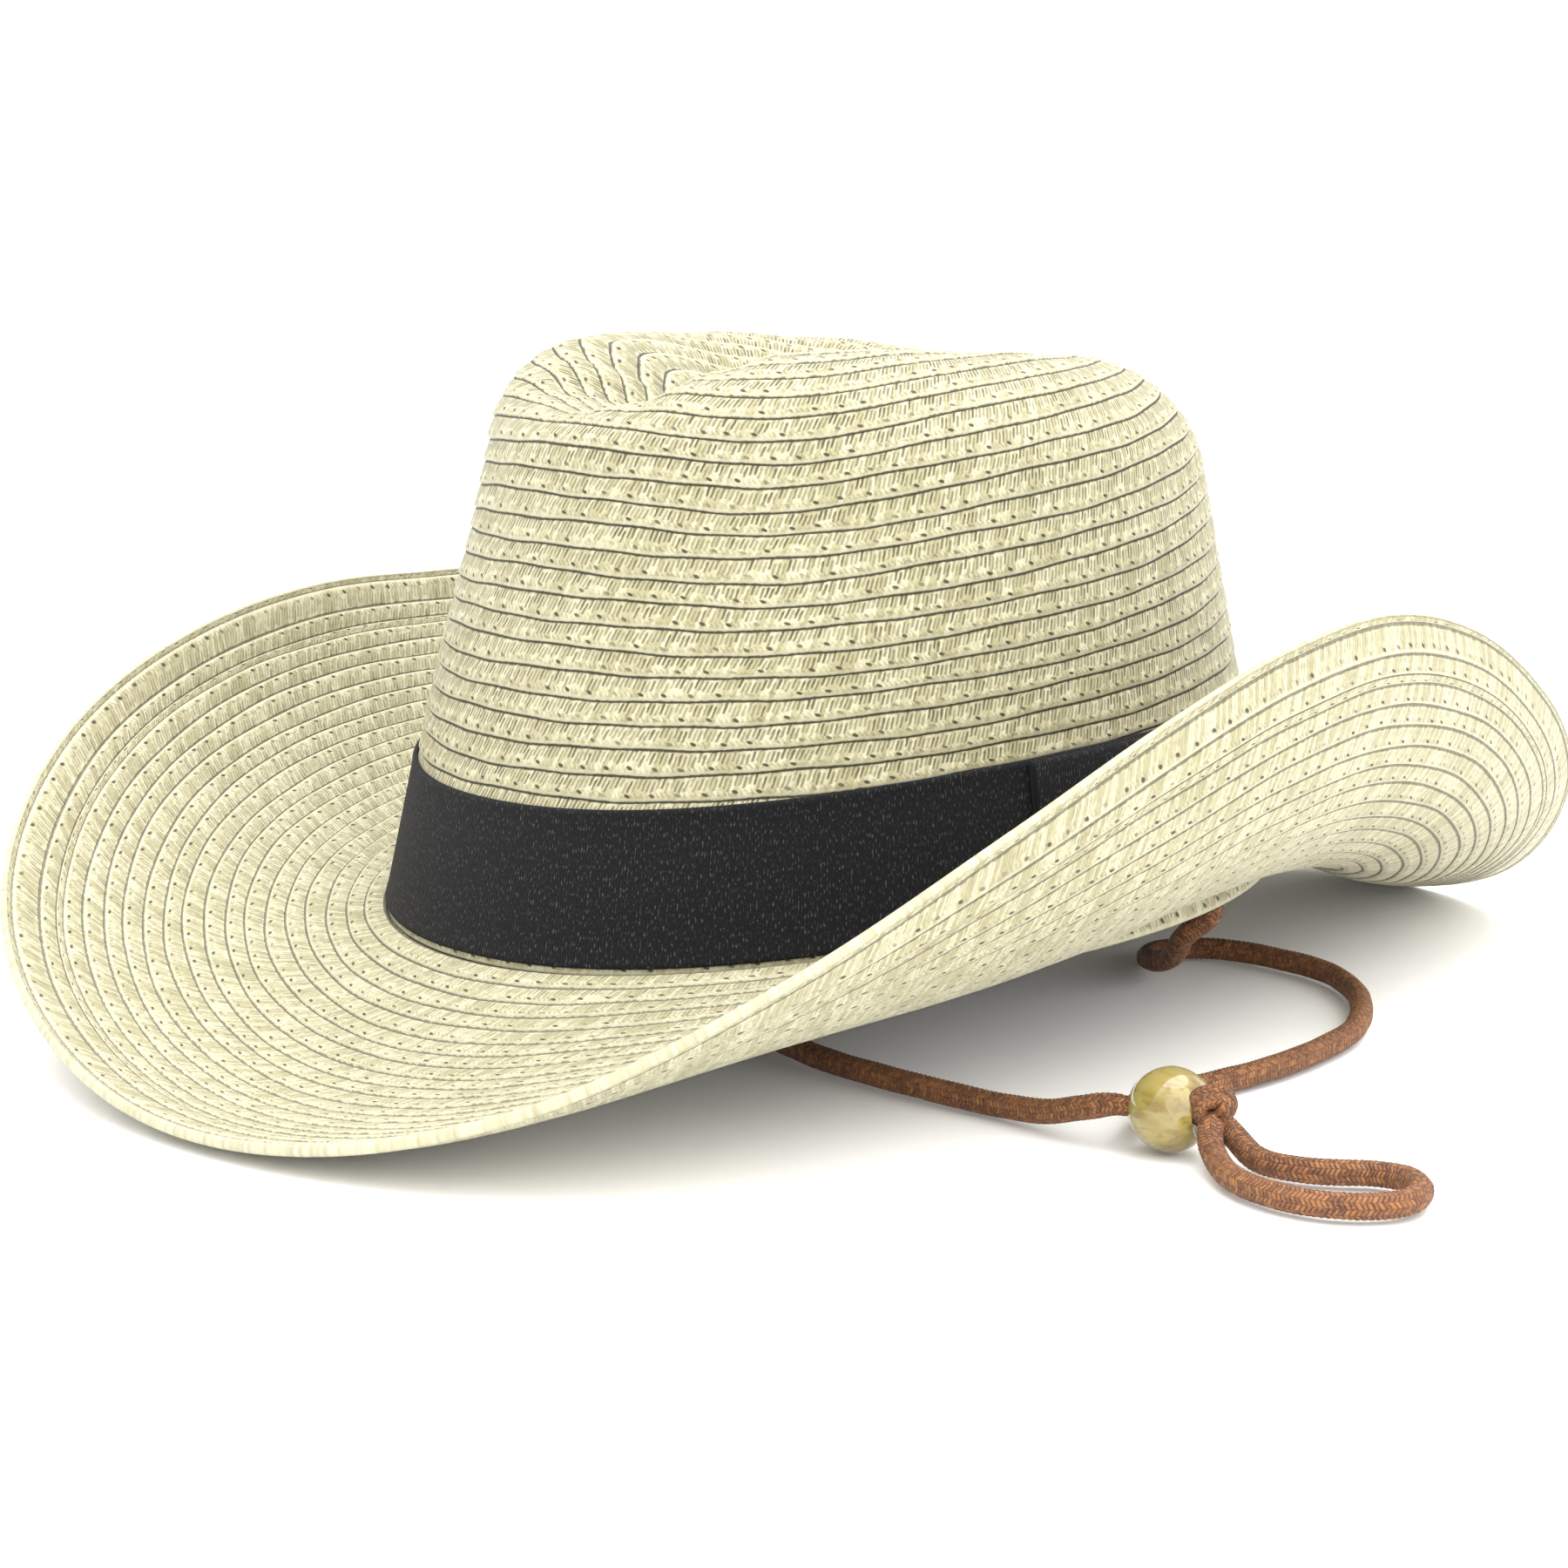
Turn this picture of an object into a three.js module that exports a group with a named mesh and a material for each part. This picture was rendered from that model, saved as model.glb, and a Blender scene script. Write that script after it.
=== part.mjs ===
// Straw cowboy hat with a ribbon band and a chin cord, in millimetres, +Z up.
// The front of the hat faces -Y and the wearer's left is +X.
// Angles about the hat run from the front (0) over the wearer's left (90) to the back (180).
import * as THREE from 'three';
import { mergeVertices } from 'three/addons/utils/BufferGeometryUtils.js';

// Driving sizes
const straw = 1.8;                 // thickness of the braided straw
const clearance = 0.3;             // gap between pieces that are sewn or rest together
const crownHalfLength = 101.9;     // outside of the crown where the brim joins
const crownHalfWidth = 83.3;
const crownHeight = 116;           // highest part of the crease's two side ridges
const frontTaper = 0.22;           // inward lean of the wall, per mm of height
const rearTaper = 0.165;
const sideTaper = 0.2;
const ovalPower = 2.1;             // 2 is an ellipse, more is squarer
const creaseFloor = 89;            // height of the bottom of the crown's crease
const creaseFlat = 0.14;           // share of the crease's radius that is flat
const joinHeight = 3.2;            // where the brim leaves the crown: middle height,
const joinTilt = 4.6;              // rise from the middle to the back
const joinBow = 2.6;               // and dip at front and back against the sides
const wallBelowJoin = 5.4;         // crown edge under the brim's joint, at the middle
const brimWidth = 82;              // along the brim's surface, crown to edge
const bandHeight = 30.5;
const bandThickness = 1.1;
const joinPieceStart = 79;         // degrees round the crown
const joinPieceLength = 34;
const cordDiameter = 4.8;
const beadRadius = 8;
const beadHalfLength = 6.6;
const knotHalfLength = 3.6;
const knotHalfWidth = 5.4;
const knotHalfHeight = 4.5;
const anchorWidth = 12;
const anchorHeight = 7;
const anchorThickness = 5.6;
const anchorAngle = 116;
const anchorLift = 1.2;            // anchor's underside above the crown's lower edge
const stations = 64;               // sections round the hat

// Crown's top edge: ridge height as a share of crownHeight, and how far the ridge lies
// inside the wall as a share of the half width there.
const ridgeTable = [
  { angle: 0, height: 0.894, inset: 0.075 },
  { angle: 14, height: 0.915, inset: 0.115 },
  { angle: 28, height: 0.968, inset: 0.19 },
  { angle: 42, height: 0.998, inset: 0.24 },
  { angle: 60, height: 1.0, inset: 0.27 },
  { angle: 90, height: 0.988, inset: 0.28 },
  { angle: 120, height: 0.968, inset: 0.29 },
  { angle: 150, height: 0.94, inset: 0.3 },
  { angle: 180, height: 0.925, inset: 0.31 },
];

// Brim sections: slope in degrees where the brim leaves the crown and at its edge.
const brimTable = [
  { angle: 0, root: -40, edge: 15 },
  { angle: 15, root: -36, edge: 12 },
  { angle: 30, root: -27, edge: 19 },
  { angle: 45, root: -23, edge: 46 },
  { angle: 60, root: -21.5, edge: 80 },
  { angle: 75, root: -14, edge: 102 },
  { angle: 90, root: -1, edge: 106 },
  { angle: 105, root: 3, edge: 106 },
  { angle: 120, root: -10, edge: 106 },
  { angle: 135, root: -33, edge: 93.5 },
  { angle: 150, root: -47, edge: 56 },
  { angle: 165, root: -41, edge: 8 },
  { angle: 180, root: -30, edge: -12 },
  { angle: 195, root: -32, edge: 16 },
  { angle: 210, root: -29, edge: 58 },
  { angle: 225, root: -18, edge: 80 },
  { angle: 240, root: -4, edge: 75 },
  { angle: 255, root: 5, edge: 64 },
  { angle: 270, root: 7, edge: 64 },
  { angle: 285, root: 4, edge: 73 },
  { angle: 300, root: 0, edge: 71.5 },
  { angle: 315, root: -5, edge: 55 },
  { angle: 330, root: -18, edge: 36.5 },
  { angle: 345, root: -33, edge: 24.5 },
];

// Chin cord: points on its centre line, x and y from the crown's centre, z above the surface.
// The wearer's right strand crosses under the hat to the bead; the left one bends round to it.
const rightStrandPoints = [
  [-63, 24, 15], [-54, 14, 7.5], [-42, 4, 3.6], [-22, -15, 2.6], [0, -33, 2.6], [20, -45, 2.6],
  [39.5, -51, 2.6], [55, -54, 2.6], [68, -54.5, 2.6], [86, -54, 2.6], [102, -52.5, 2.6],
  [115, -52.4, 4], [122.5, -52, 6.2],
];
const leftStrandPoints = [
  [63, 43, 15], [54, 49, 8], [44, 55, 4], [36, 60.5, 2.8], [33.5, 67, 2.6], [37, 75.5, 2.6],
  [45, 80, 2.6], [54.6, 81.1, 2.6], [71.2, 79.3, 2.6], [87.8, 69.6, 2.6], [98.3, 59.1, 2.6],
  [105.2, 49.9, 2.6], [110.5, 40.5, 2.6], [114.5, 28, 2.6], [117.5, 13.3, 2.6], [118.5, 1.2, 2.6],
  [118.4, -10, 2.6], [118.2, -21, 2.6], [118.6, -31.5, 3.2], [121.2, -40.5, 5.4],
];
const loopPoints = [
  [154.6, -53, 5], [160.4, -55.4, 3], [166.4, -57.8, 2.6], [172.9, -59.2, 2.6], [180, -59, 2.6],
  [186.2, -56.8, 2.6], [191, -53, 2.6], [194, -48, 2.6], [193.9, -42.5, 2.6], [190.5, -37, 2.6],
  [185, -34.2, 2.6], [179.6, -35.6, 2.6], [174.5, -40, 2.6], [169, -43.4, 2.6], [163.5, -43, 4],
];
const beadPlace = [138.8, -45.2];
const beadAxis = new THREE.Vector3(0.964, 0.266, 0).normalize();

// Colours, roughness and metalness seen in the photo
const strawMaterial = () => new THREE.MeshStandardMaterial({ color: 0xe6dcb4, roughness: 0.8, metalness: 0 });
const ribbonMaterial = () => new THREE.MeshStandardMaterial({ color: 0x1c1c1e, roughness: 0.9, metalness: 0 });
const cordMaterial = () => new THREE.MeshStandardMaterial({ color: 0x84492c, roughness: 0.85, metalness: 0 });
const woodMaterial = () => new THREE.MeshStandardMaterial({ color: 0xb79d55, roughness: 0.3, metalness: 0 });

const radians = THREE.MathUtils.degToRad;

// Smooth value of a column round the hat, through the table's rows.
function roundTable(table, column, angle) {
  const count = table.length;
  const place = (((angle % 360) + 360) % 360) / (360 / count);
  const at = (k) => table[((k % count) + count) % count][column];
  const k = Math.floor(place);
  return catmull(at(k - 1), at(k), at(k + 1), at(k + 2), place - k);
}

function catmull(a, b, c, d, t) {
  return 0.5 * (2 * b + (c - a) * t + (2 * a - 5 * b + 4 * c - d) * t * t + (3 * b - a - 3 * c + d) * t * t * t);
}

// Smooth value of a ridge column; both sides of the crown are alike.
function ridgeValue(column, angle) {
  const turned = Math.abs(((angle + 180) % 360 + 360) % 360 - 180);
  const rows = ridgeTable;
  let k = rows.length - 2;
  while (rows[k].angle > turned) k -= 1;
  const span = rows[k + 1].angle - rows[k].angle;
  const t = (turned - rows[k].angle) / span;
  const smooth = t * t * (3 - 2 * t);
  return THREE.MathUtils.lerp(rows[k][column], rows[k + 1][column], smooth);
}

const powered = (value) => Math.sign(value) * Math.abs(value) ** (2 / ovalPower);

// Outside of the crown's wall at a height above the joint's base plane.
function wallPoint(angle, height) {
  const c = powered(Math.cos(radians(angle)));
  const s = powered(Math.sin(radians(angle)));
  const taper = c > 0 ? frontTaper : rearTaper;
  const blend = Math.abs(c);
  const lengthTaper = THREE.MathUtils.lerp((frontTaper + rearTaper) / 2, taper, blend);
  const halfLength = crownHalfLength - lengthTaper * height;
  const halfWidth = crownHalfWidth - sideTaper * height;
  return new THREE.Vector3(halfWidth * s, -halfLength * c, height);
}

const joinLevel = (angle) =>
  joinHeight - joinTilt * Math.cos(radians(angle)) - joinBow * Math.cos(2 * radians(angle));

// The crown's lower edge lies in one leaning plane.
const edgePlane = (y) => joinHeight - wallBelowJoin + (joinTilt / crownHalfLength) * y;

// One section of the crown's outside, from its lower edge to the middle of the crease.
function crownSection(angle, wallSteps, shoulderSteps, creaseSteps) {
  const low = edgePlane(wallPoint(angle, 0).y);
  const ridge = crownHeight * ridgeValue('height', angle);
  const inset = ridgeValue('inset', angle);
  const rise = 0.9 * inset * crownHalfWidth;
  const shoulder = ridge - rise;
  const points = [];
  for (let k = 0; k <= wallSteps; k += 1) {
    points.push(wallPoint(angle, THREE.MathUtils.lerp(low, shoulder, k / wallSteps)));
  }
  for (let k = 1; k <= shoulderSteps; k += 1) {
    const a = (Math.PI / 2) * (k / shoulderSteps);
    const point = wallPoint(angle, shoulder + rise * Math.sin(a));
    const share = 1 - inset * (1 - Math.cos(a));
    points.push(new THREE.Vector3(point.x * share, point.y * share, point.z));
  }
  const crest = points[points.length - 1];
  for (let k = 1; k < creaseSteps; k += 1) {
    const share = 1 - k / creaseSteps;
    const climb = THREE.MathUtils.smoothstep(share, creaseFlat, 1);
    points.push(new THREE.Vector3(crest.x * share, crest.y * share, THREE.MathUtils.lerp(creaseFloor, ridge, climb)));
  }
  return points;
}

// One section of the brim's middle surface: a circular arc from the root to the edge slope.
function brimSection(angle, steps) {
  const root = radians(roundTable(brimTable, 'root', angle));
  const edge = radians(roundTable(brimTable, 'edge', angle));
  const level = joinLevel(angle);
  const start = wallPoint(angle, level);
  const ahead = wallPoint(angle + 0.5, level);
  const behind = wallPoint(angle - 0.5, level);
  const out = new THREE.Vector3(ahead.y - behind.y, behind.x - ahead.x, 0).normalize();
  if (out.dot(start) < 0) out.negate();
  start.addScaledVector(out, clearance + (straw / 2) * (Math.abs(Math.sin(root)) + sideTaper));
  const turn = edge - root;
  const points = [];
  for (let k = 0; k <= steps; k += 1) {
    const s = k / steps;
    const half = (turn * s) / 2;
    const chord = brimWidth * s * (Math.abs(half) > 1e-6 ? Math.sin(half) / half : 1);
    const slope = root + half;
    const point = start.clone().addScaledVector(out, chord * Math.cos(slope));
    point.z += chord * Math.sin(slope);
    points.push(point);
  }
  return points;
}

// Unit normals of a grid of points closed round the hat; they point away from the inside.
function gridNormals(grid) {
  const count = grid.length;
  return grid.map((section, i) => section.map((point, j) => {
    const round = grid[(i + 1) % count][j].clone().sub(grid[(i + count - 1) % count][j]);
    const along = section[Math.min(j + 1, section.length - 1)].clone().sub(section[Math.max(j - 1, 0)]);
    return round.cross(along).normalize();
  }));
}

// Joins two grids that are closed round the hat into one solid, open or closed at the middle.
function shell(outer, inner, outerPole, innerPole) {
  const positions = [];
  const triangles = [];
  const count = outer.length;
  const last = outer[0].length - 1;
  const lay = (grid) => {
    const first = positions.length / 3;
    grid.forEach((section) => section.forEach((p) => positions.push(p.x, p.y, p.z)));
    return (i, j) => first + (((i % count) + count) % count) * (last + 1) + j;
  };
  const out = lay(outer);
  const inn = lay(inner);
  const quad = (a, b, c, d) => triangles.push(a, b, c, a, c, d);
  for (let i = 0; i < count; i += 1) {
    for (let j = 0; j < last; j += 1) {
      quad(out(i, j), out(i + 1, j), out(i + 1, j + 1), out(i, j + 1));
      quad(inn(i, j), inn(i, j + 1), inn(i + 1, j + 1), inn(i + 1, j));
    }
    quad(out(i, 0), inn(i, 0), inn(i + 1, 0), out(i + 1, 0));
    if (!outerPole) quad(out(i, last), out(i + 1, last), inn(i + 1, last), inn(i, last));
  }
  if (outerPole) {
    const top = positions.length / 3;
    positions.push(outerPole.x, outerPole.y, outerPole.z, innerPole.x, innerPole.y, innerPole.z);
    for (let i = 0; i < count; i += 1) {
      triangles.push(out(i, last), out(i + 1, last), top);
      triangles.push(inn(i + 1, last), inn(i, last), top + 1);
    }
  }
  return meshGeometry(positions, triangles);
}

function meshGeometry(positions, triangles) {
  const geometry = new THREE.BufferGeometry();
  geometry.setAttribute('position', new THREE.Float32BufferAttribute(positions, 3));
  geometry.setIndex(triangles);
  geometry.computeVertexNormals();
  return geometry;
}

const angles = Array.from({ length: stations }, (_, i) => (360 * i) / stations);

function crownGeometry() {
  const outer = angles.map((angle) => crownSection(angle, 7, 5, 6));
  const normals = gridNormals(outer);
  const inner = outer.map((section, i) => section.map((point, j) => {
    const moved = point.clone().addScaledVector(normals[i][j], -straw);
    if (j === 0) moved.z = edgePlane(moved.y);
    return moved;
  }));
  outer.forEach((section) => { section[0].z = edgePlane(section[0].y); });
  const middle = new THREE.Vector3(0, 0, creaseFloor);
  return shell(outer, inner, middle, middle.clone().setZ(creaseFloor - straw));
}

function brimGeometry() {
  const middle = angles.map((angle) => brimSection(angle, 9));
  const normals = gridNormals(middle);
  const offset = (side) => middle.map((section, i) =>
    section.map((point, j) => point.clone().addScaledVector(normals[i][j], (side * straw) / 2)));
  return shell(offset(1), offset(-1));
}

// Height above the brim's joint where the band's lower edge sits clear of the brim.
function bandLift(angle) {
  const root = radians(roundTable(brimTable, 'root', angle));
  const reach = clearance + bandThickness;
  return straw / 2 / Math.cos(root) + Math.max(0, Math.tan(root)) * reach + 2 * clearance;
}

// A strip of ribbon lying on the crown's wall, as rings of four corners.
function ribbonCorners(angle, standOff, thickness, margin) {
  const low = joinLevel(angle) + bandLift(angle) + margin;
  const high = low + bandHeight - 2 * margin;
  const outward = (level) => {
    const ahead = wallPoint(angle + 0.5, level);
    const behind = wallPoint(angle - 0.5, level);
    const out = new THREE.Vector3(ahead.y - behind.y, behind.x - ahead.x, 0).normalize();
    return out.dot(ahead) < 0 ? out.negate() : out;
  };
  const place = (level, distance) => wallPoint(angle, level).addScaledVector(outward(level), distance);
  const middle = (low + high) / 2;
  return {
    outer: [low, middle, high].map((level) => place(level, standOff + thickness)),
    inner: [low, middle, high].map((level) => place(level, standOff)),
  };
}

function bandGeometry() {
  const rings = angles.map((angle) => ribbonCorners(angle, clearance, bandThickness, 0));
  return shell(rings.map((ring) => ring.outer), rings.map((ring) => ring.inner));
}

// The ribbon's join: a short length laid over the band.
function joinPieceGeometry() {
  const start = joinPieceStart;
  const middleRadius = (crownHalfLength + crownHalfWidth) / 2;
  const sweep = THREE.MathUtils.radToDeg(joinPieceLength / middleRadius);
  const steps = 8;
  const positions = [];
  const triangles = [];
  const standOff = 2 * clearance + bandThickness;
  for (let i = 0; i <= steps; i += 1) {
    const ring = ribbonCorners(start + (sweep * i) / steps, standOff, bandThickness, clearance);
    [ring.outer[0], ring.outer[1], ring.outer[2], ring.inner[2], ring.inner[1], ring.inner[0]]
      .forEach((p) => positions.push(p.x, p.y, p.z));
  }
  for (let i = 0; i < steps; i += 1) {
    for (let j = 0; j < 6; j += 1) {
      const a = i * 6 + j;
      const b = i * 6 + ((j + 1) % 6);
      triangles.push(a, a + 6, b + 6, a, b + 6, b);
    }
  }
  const cap = (first, flip) => {
    [[0, 1, 4], [0, 4, 5], [1, 2, 3], [1, 3, 4]].forEach(([a, b, c]) => {
      triangles.push(first + a, first + (flip ? c : b), first + (flip ? b : c));
    });
  };
  cap(0, false);
  cap(steps * 6, true);
  return meshGeometry(positions, triangles);
}

// Cord tube along points; a step about every two and a half diameters.
function cordGeometry(points) {
  const curve = new THREE.CatmullRomCurve3(points, false, 'centripetal');
  const steps = Math.min(60, Math.round(curve.getLength() / (2 * cordDiameter)));
  const section = new THREE.Shape();
  const sides = 10;
  for (let k = 0; k < sides; k += 1) {
    const a = (2 * Math.PI * k) / sides;
    const x = (cordDiameter / 2) * Math.cos(a);
    const y = (cordDiameter / 2) * Math.sin(a);
    if (k === 0) section.moveTo(x, y);
    else section.lineTo(x, y);
  }
  section.closePath();
  const geometry = new THREE.ExtrudeGeometry(section, { steps, extrudePath: curve });
  geometry.deleteAttribute('normal');
  geometry.deleteAttribute('uv');
  const merged = mergeVertices(geometry, 1e-4);
  merged.computeVertexNormals();
  return merged;
}

// Bead turned about its bore's axis, with a small flat at each end.
function beadGeometry() {
  const profile = [new THREE.Vector2(0, -beadHalfLength)];
  const edge = Math.asin(beadHalfLength / beadRadius);
  const steps = 10;
  for (let k = 0; k <= steps; k += 1) {
    const a = THREE.MathUtils.lerp(-edge, edge, k / steps);
    profile.push(new THREE.Vector2(beadRadius * Math.cos(a), beadRadius * Math.sin(a)));
  }
  profile.push(new THREE.Vector2(0, beadHalfLength));
  return closedLathe(profile, 20);
}

function closedLathe(profile, sides) {
  const geometry = new THREE.LatheGeometry(profile, sides);
  geometry.deleteAttribute('normal');
  geometry.deleteAttribute('uv');
  const merged = mergeVertices(geometry, 1e-4);
  merged.computeVertexNormals();
  return merged;
}

// Knot: a rounded lump with a flat at each end, where the cord meets the bead and the loop.
function knotGeometry() {
  const profile = [new THREE.Vector2(0, -1)];
  const steps = 6;
  for (let k = 0; k <= steps; k += 1) {
    const a = THREE.MathUtils.lerp(-0.3, 0.3, k / steps) * Math.PI;
    profile.push(new THREE.Vector2(Math.cos(a), Math.sin(a) / Math.sin(0.3 * Math.PI)));
  }
  profile.push(new THREE.Vector2(0, 1));
  const geometry = closedLathe(profile, 20);
  geometry.scale(knotHalfHeight, knotHalfLength, knotHalfWidth);
  return geometry;
}

// Turns a lathe's own axis (Y) to the bead's axis; its X then points down.
function alongBeadAxis(mesh) {
  const side = new THREE.Vector3(beadAxis.y, -beadAxis.x, 0);
  const down = new THREE.Vector3().crossVectors(beadAxis, side);
  mesh.quaternion.setFromRotationMatrix(new THREE.Matrix4().makeBasis(down, beadAxis, side));
  return mesh;
}

function named(name, geometry, material) {
  const mesh = new THREE.Mesh(geometry, material);
  mesh.name = name;
  return mesh;
}

// Hat
const hat = new THREE.Group();
hat.add(named('crown', crownGeometry(), strawMaterial()));
hat.add(named('brim', brimGeometry(), strawMaterial()));
hat.add(named('hat_band', bandGeometry(), ribbonMaterial()));
hat.add(named('band_join', joinPieceGeometry(), ribbonMaterial()));

// Cord anchors: a plain block sewn inside each side of the crown's lower edge.
function anchorFrame(side) {
  const angle = side * anchorAngle;
  const wall = wallPoint(angle, 0);
  const ahead = wallPoint(angle + 0.5, 0);
  const behind = wallPoint(angle - 0.5, 0);
  const out = new THREE.Vector3(ahead.y - behind.y, behind.x - ahead.x, 0).normalize();
  if (out.dot(wall) < 0) out.negate();
  const bottom = edgePlane(wall.y) + anchorLift;
  const bulge = (anchorWidth * anchorWidth) / (8 * crownHalfWidth);
  const inward = straw + clearance + bulge + sideTaper * (anchorHeight + bottom) + anchorThickness / 2;
  const centre = wall.clone().addScaledVector(out, -inward).setZ(bottom + anchorHeight / 2);
  return { centre, out, bottom };
}

[['left', 1], ['right', -1]].forEach(([label, side]) => {
  const frame = anchorFrame(side);
  const anchor = named(`cord_anchor_${label}`, new THREE.BoxGeometry(anchorThickness, anchorWidth, anchorHeight), cordMaterial());
  anchor.position.copy(frame.centre);
  anchor.rotation.z = Math.atan2(frame.out.y, frame.out.x);
  hat.add(anchor);
});

// The surface lies under the lowest point of the brim.
const hatBox = new THREE.Box3().setFromObject(hat);
const surface = hatBox.min.z;

// Chin cord, bead and knot
const atSurface = (x, y, z) => new THREE.Vector3(x, y, surface + z);
const across = new THREE.Vector3(beadAxis.y, -beadAxis.x, 0);
const strandOffset = cordDiameter / 2 + clearance / 2;
const beadCentre = atSurface(beadPlace[0], beadPlace[1], beadRadius);
const knotCentre = beadCentre.clone().addScaledVector(beadAxis, beadHalfLength + clearance + knotHalfLength);

function besideAxis(centre, along, sidewards) {
  return centre.clone().addScaledVector(beadAxis, along).addScaledVector(across, sidewards);
}

function strand(label, side, points, sidewards) {
  const frame = anchorFrame(side);
  const top = frame.centre.clone().setZ(frame.bottom - clearance);
  const below = top.clone().setZ(top.z - 1.2 * cordDiameter);
  const end = besideAxis(beadCentre, -beadHalfLength - clearance, sidewards);
  const before = besideAxis(end, -cordDiameter, 0);
  const route = [top, below, ...points.map((p) => atSurface(...p)), before, end];
  hat.add(named(`chin_cord_${label}`, cordGeometry(route), cordMaterial()));
}

strand('right', -1, rightStrandPoints, strandOffset);
strand('left', 1, leftStrandPoints, -strandOffset);

const bead = alongBeadAxis(named('cord_bead', beadGeometry(), woodMaterial()));
bead.position.copy(beadCentre);
hat.add(bead);

const knot = alongBeadAxis(named('cord_knot', knotGeometry(), cordMaterial()));
knot.position.copy(knotCentre);
hat.add(knot);

// The loop leaves the knot's side that faces the front and comes back to its outer end.
const loopStart = besideAxis(knotCentre, 0, knotHalfWidth + clearance);
const loopEnd = besideAxis(knotCentre, knotHalfLength + clearance, 0);
const loopRoute = [
  loopStart,
  besideAxis(loopStart, 0, cordDiameter / 2),
  ...loopPoints.map((p) => atSurface(...p)),
  besideAxis(loopEnd, cordDiameter, 0),
  loopEnd,
];
hat.add(named('chin_cord_loop', cordGeometry(loopRoute), cordMaterial()));

// The origin is under the middle of the hat, on the surface.
hat.position.set(
  -(hatBox.min.x + hatBox.max.x) / 2,
  -(hatBox.min.y + hatBox.max.y) / 2,
  -surface,
);

const object = new THREE.Group();
object.add(hat);
export default object;
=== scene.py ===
"""Straw cowboy hat with a ribbon band and a chin cord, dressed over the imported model.

Shapes are worked out in millimetres about the crown's base centre, with the front of the hat at -Y and the
wearer's left at +X, and are moved into the frame in metres when a mesh is made.
"""

import math

import bpy
import numpy as np
from mathutils import Matrix, Vector


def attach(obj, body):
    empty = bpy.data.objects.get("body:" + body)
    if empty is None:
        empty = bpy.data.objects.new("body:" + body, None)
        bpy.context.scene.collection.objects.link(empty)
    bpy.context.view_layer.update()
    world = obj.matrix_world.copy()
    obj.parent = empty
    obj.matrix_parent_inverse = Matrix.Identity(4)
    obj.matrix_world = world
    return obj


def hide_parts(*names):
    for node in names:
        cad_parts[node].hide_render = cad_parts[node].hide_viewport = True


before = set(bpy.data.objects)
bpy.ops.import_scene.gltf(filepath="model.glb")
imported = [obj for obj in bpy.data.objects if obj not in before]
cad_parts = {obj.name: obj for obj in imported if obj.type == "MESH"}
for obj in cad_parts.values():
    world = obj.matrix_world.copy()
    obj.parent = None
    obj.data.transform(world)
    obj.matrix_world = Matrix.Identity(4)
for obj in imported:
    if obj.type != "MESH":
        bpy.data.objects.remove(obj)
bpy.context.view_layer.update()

MM = 0.001
CROWN_PLACE = np.array([8.2418, 1.1920, 25.2732])  # crown's base centre in the frame, mm
SURFACE = -CROWN_PLACE[2]  # height of the surface below that centre
CLEARANCE = 0.3  # gap between neighbouring pieces

# Camera, from the photograph: turn about the hat, height angle, place in metres and lens in mm
CAMERA_TURN = 0.83696
CAMERA_LIFT = 0.18206
CAMERA_PLACE = (0.60118, -0.54970, 0.19342)
CAMERA_LENS = 86.88

# Crown, in mm; tapers are mm narrower per mm of height
STRAW = 1.8  # thickness
CROWN_HALF_LENGTH = 101.9
CROWN_HALF_WIDTH = 83.3
CROWN_HEIGHT = 116.0
FRONT_TAPER = 0.22
REAR_TAPER = 0.165
SIDE_TAPER = 0.2
OVAL_POWER = 2.1
CREASE_FLOOR = 89.0
CREASE_FLAT = 0.14  # share of the way out over which the crease is level
JOIN_HEIGHT = 3.2
JOIN_TILT = 4.6
JOIN_BOW = 2.6
WALL_BELOW_JOIN = 5.4
SHOULDER_STEPS = 60
CREASE_STEPS = 120
SOFTEN_FROM = 104  # step of the top where rows begin to be evened out round the hat
SOFTEN_STEPS = 60
EASING_PASSES = 400
# angle, ridge height as a share of the crown's height, inset as a share of its half width
RIDGE = np.array([
    (0, 0.894, 0.075), (14, 0.915, 0.115), (28, 0.968, 0.19), (42, 0.998, 0.24), (60, 1.0, 0.27),
    (90, 0.988, 0.28), (120, 0.968, 0.29), (150, 0.94, 0.3), (180, 0.925, 0.31),
])

# Rows of braid on the crown: row 0 starts at the brim's joint, and wall rows end at WALL_ROWS
ROW_PITCH = 4.85
ROW_BASE = 3.35
WALL_ROWS = 13
POLE_ROW = 37
TILT_GAIN = 0.0585  # how much more a row leans forward, per mm of height
BOW_GAIN = 0.0683
SAG_ROW = 10  # rows above this one sag beside the front of the crown
SAG_ANGLE = 45.0
SAG_SPREAD = 23.0
SAG_STEP = 0.34  # mm more at each row
DENT_DEPTH = 2.2
DENT_FROM = 40.0  # the dent grows from this height up, over DENT_RISE
DENT_RISE = 45.0
DENT_FALL = 22.0  # and is gone again at the crown's height, over DENT_FALL
DRIFT_END = 26  # rows wander up to this row, and less over the last DRIFT_FADE rows
DRIFT_FADE = 6
WAVE_HEIGHT = 0.03
TOP_PITCH = 4.95  # along the surface, above the wall rows
CREST_REACH = 45.0  # rows keep TOP_PITCH this far past the last wall row
CROWN_COLUMNS = 340

# Brim
BRIM_WIDTH = 82.0
BRIM_PITCH = 4.3
BRIM_STILL = 8.0  # rows begin to wander over this width from the crown
BRIM_EDGE_STILL = 80.4  # and are still again at this width, after BRIM_SETTLE
BRIM_SETTLE = 6.0
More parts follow.
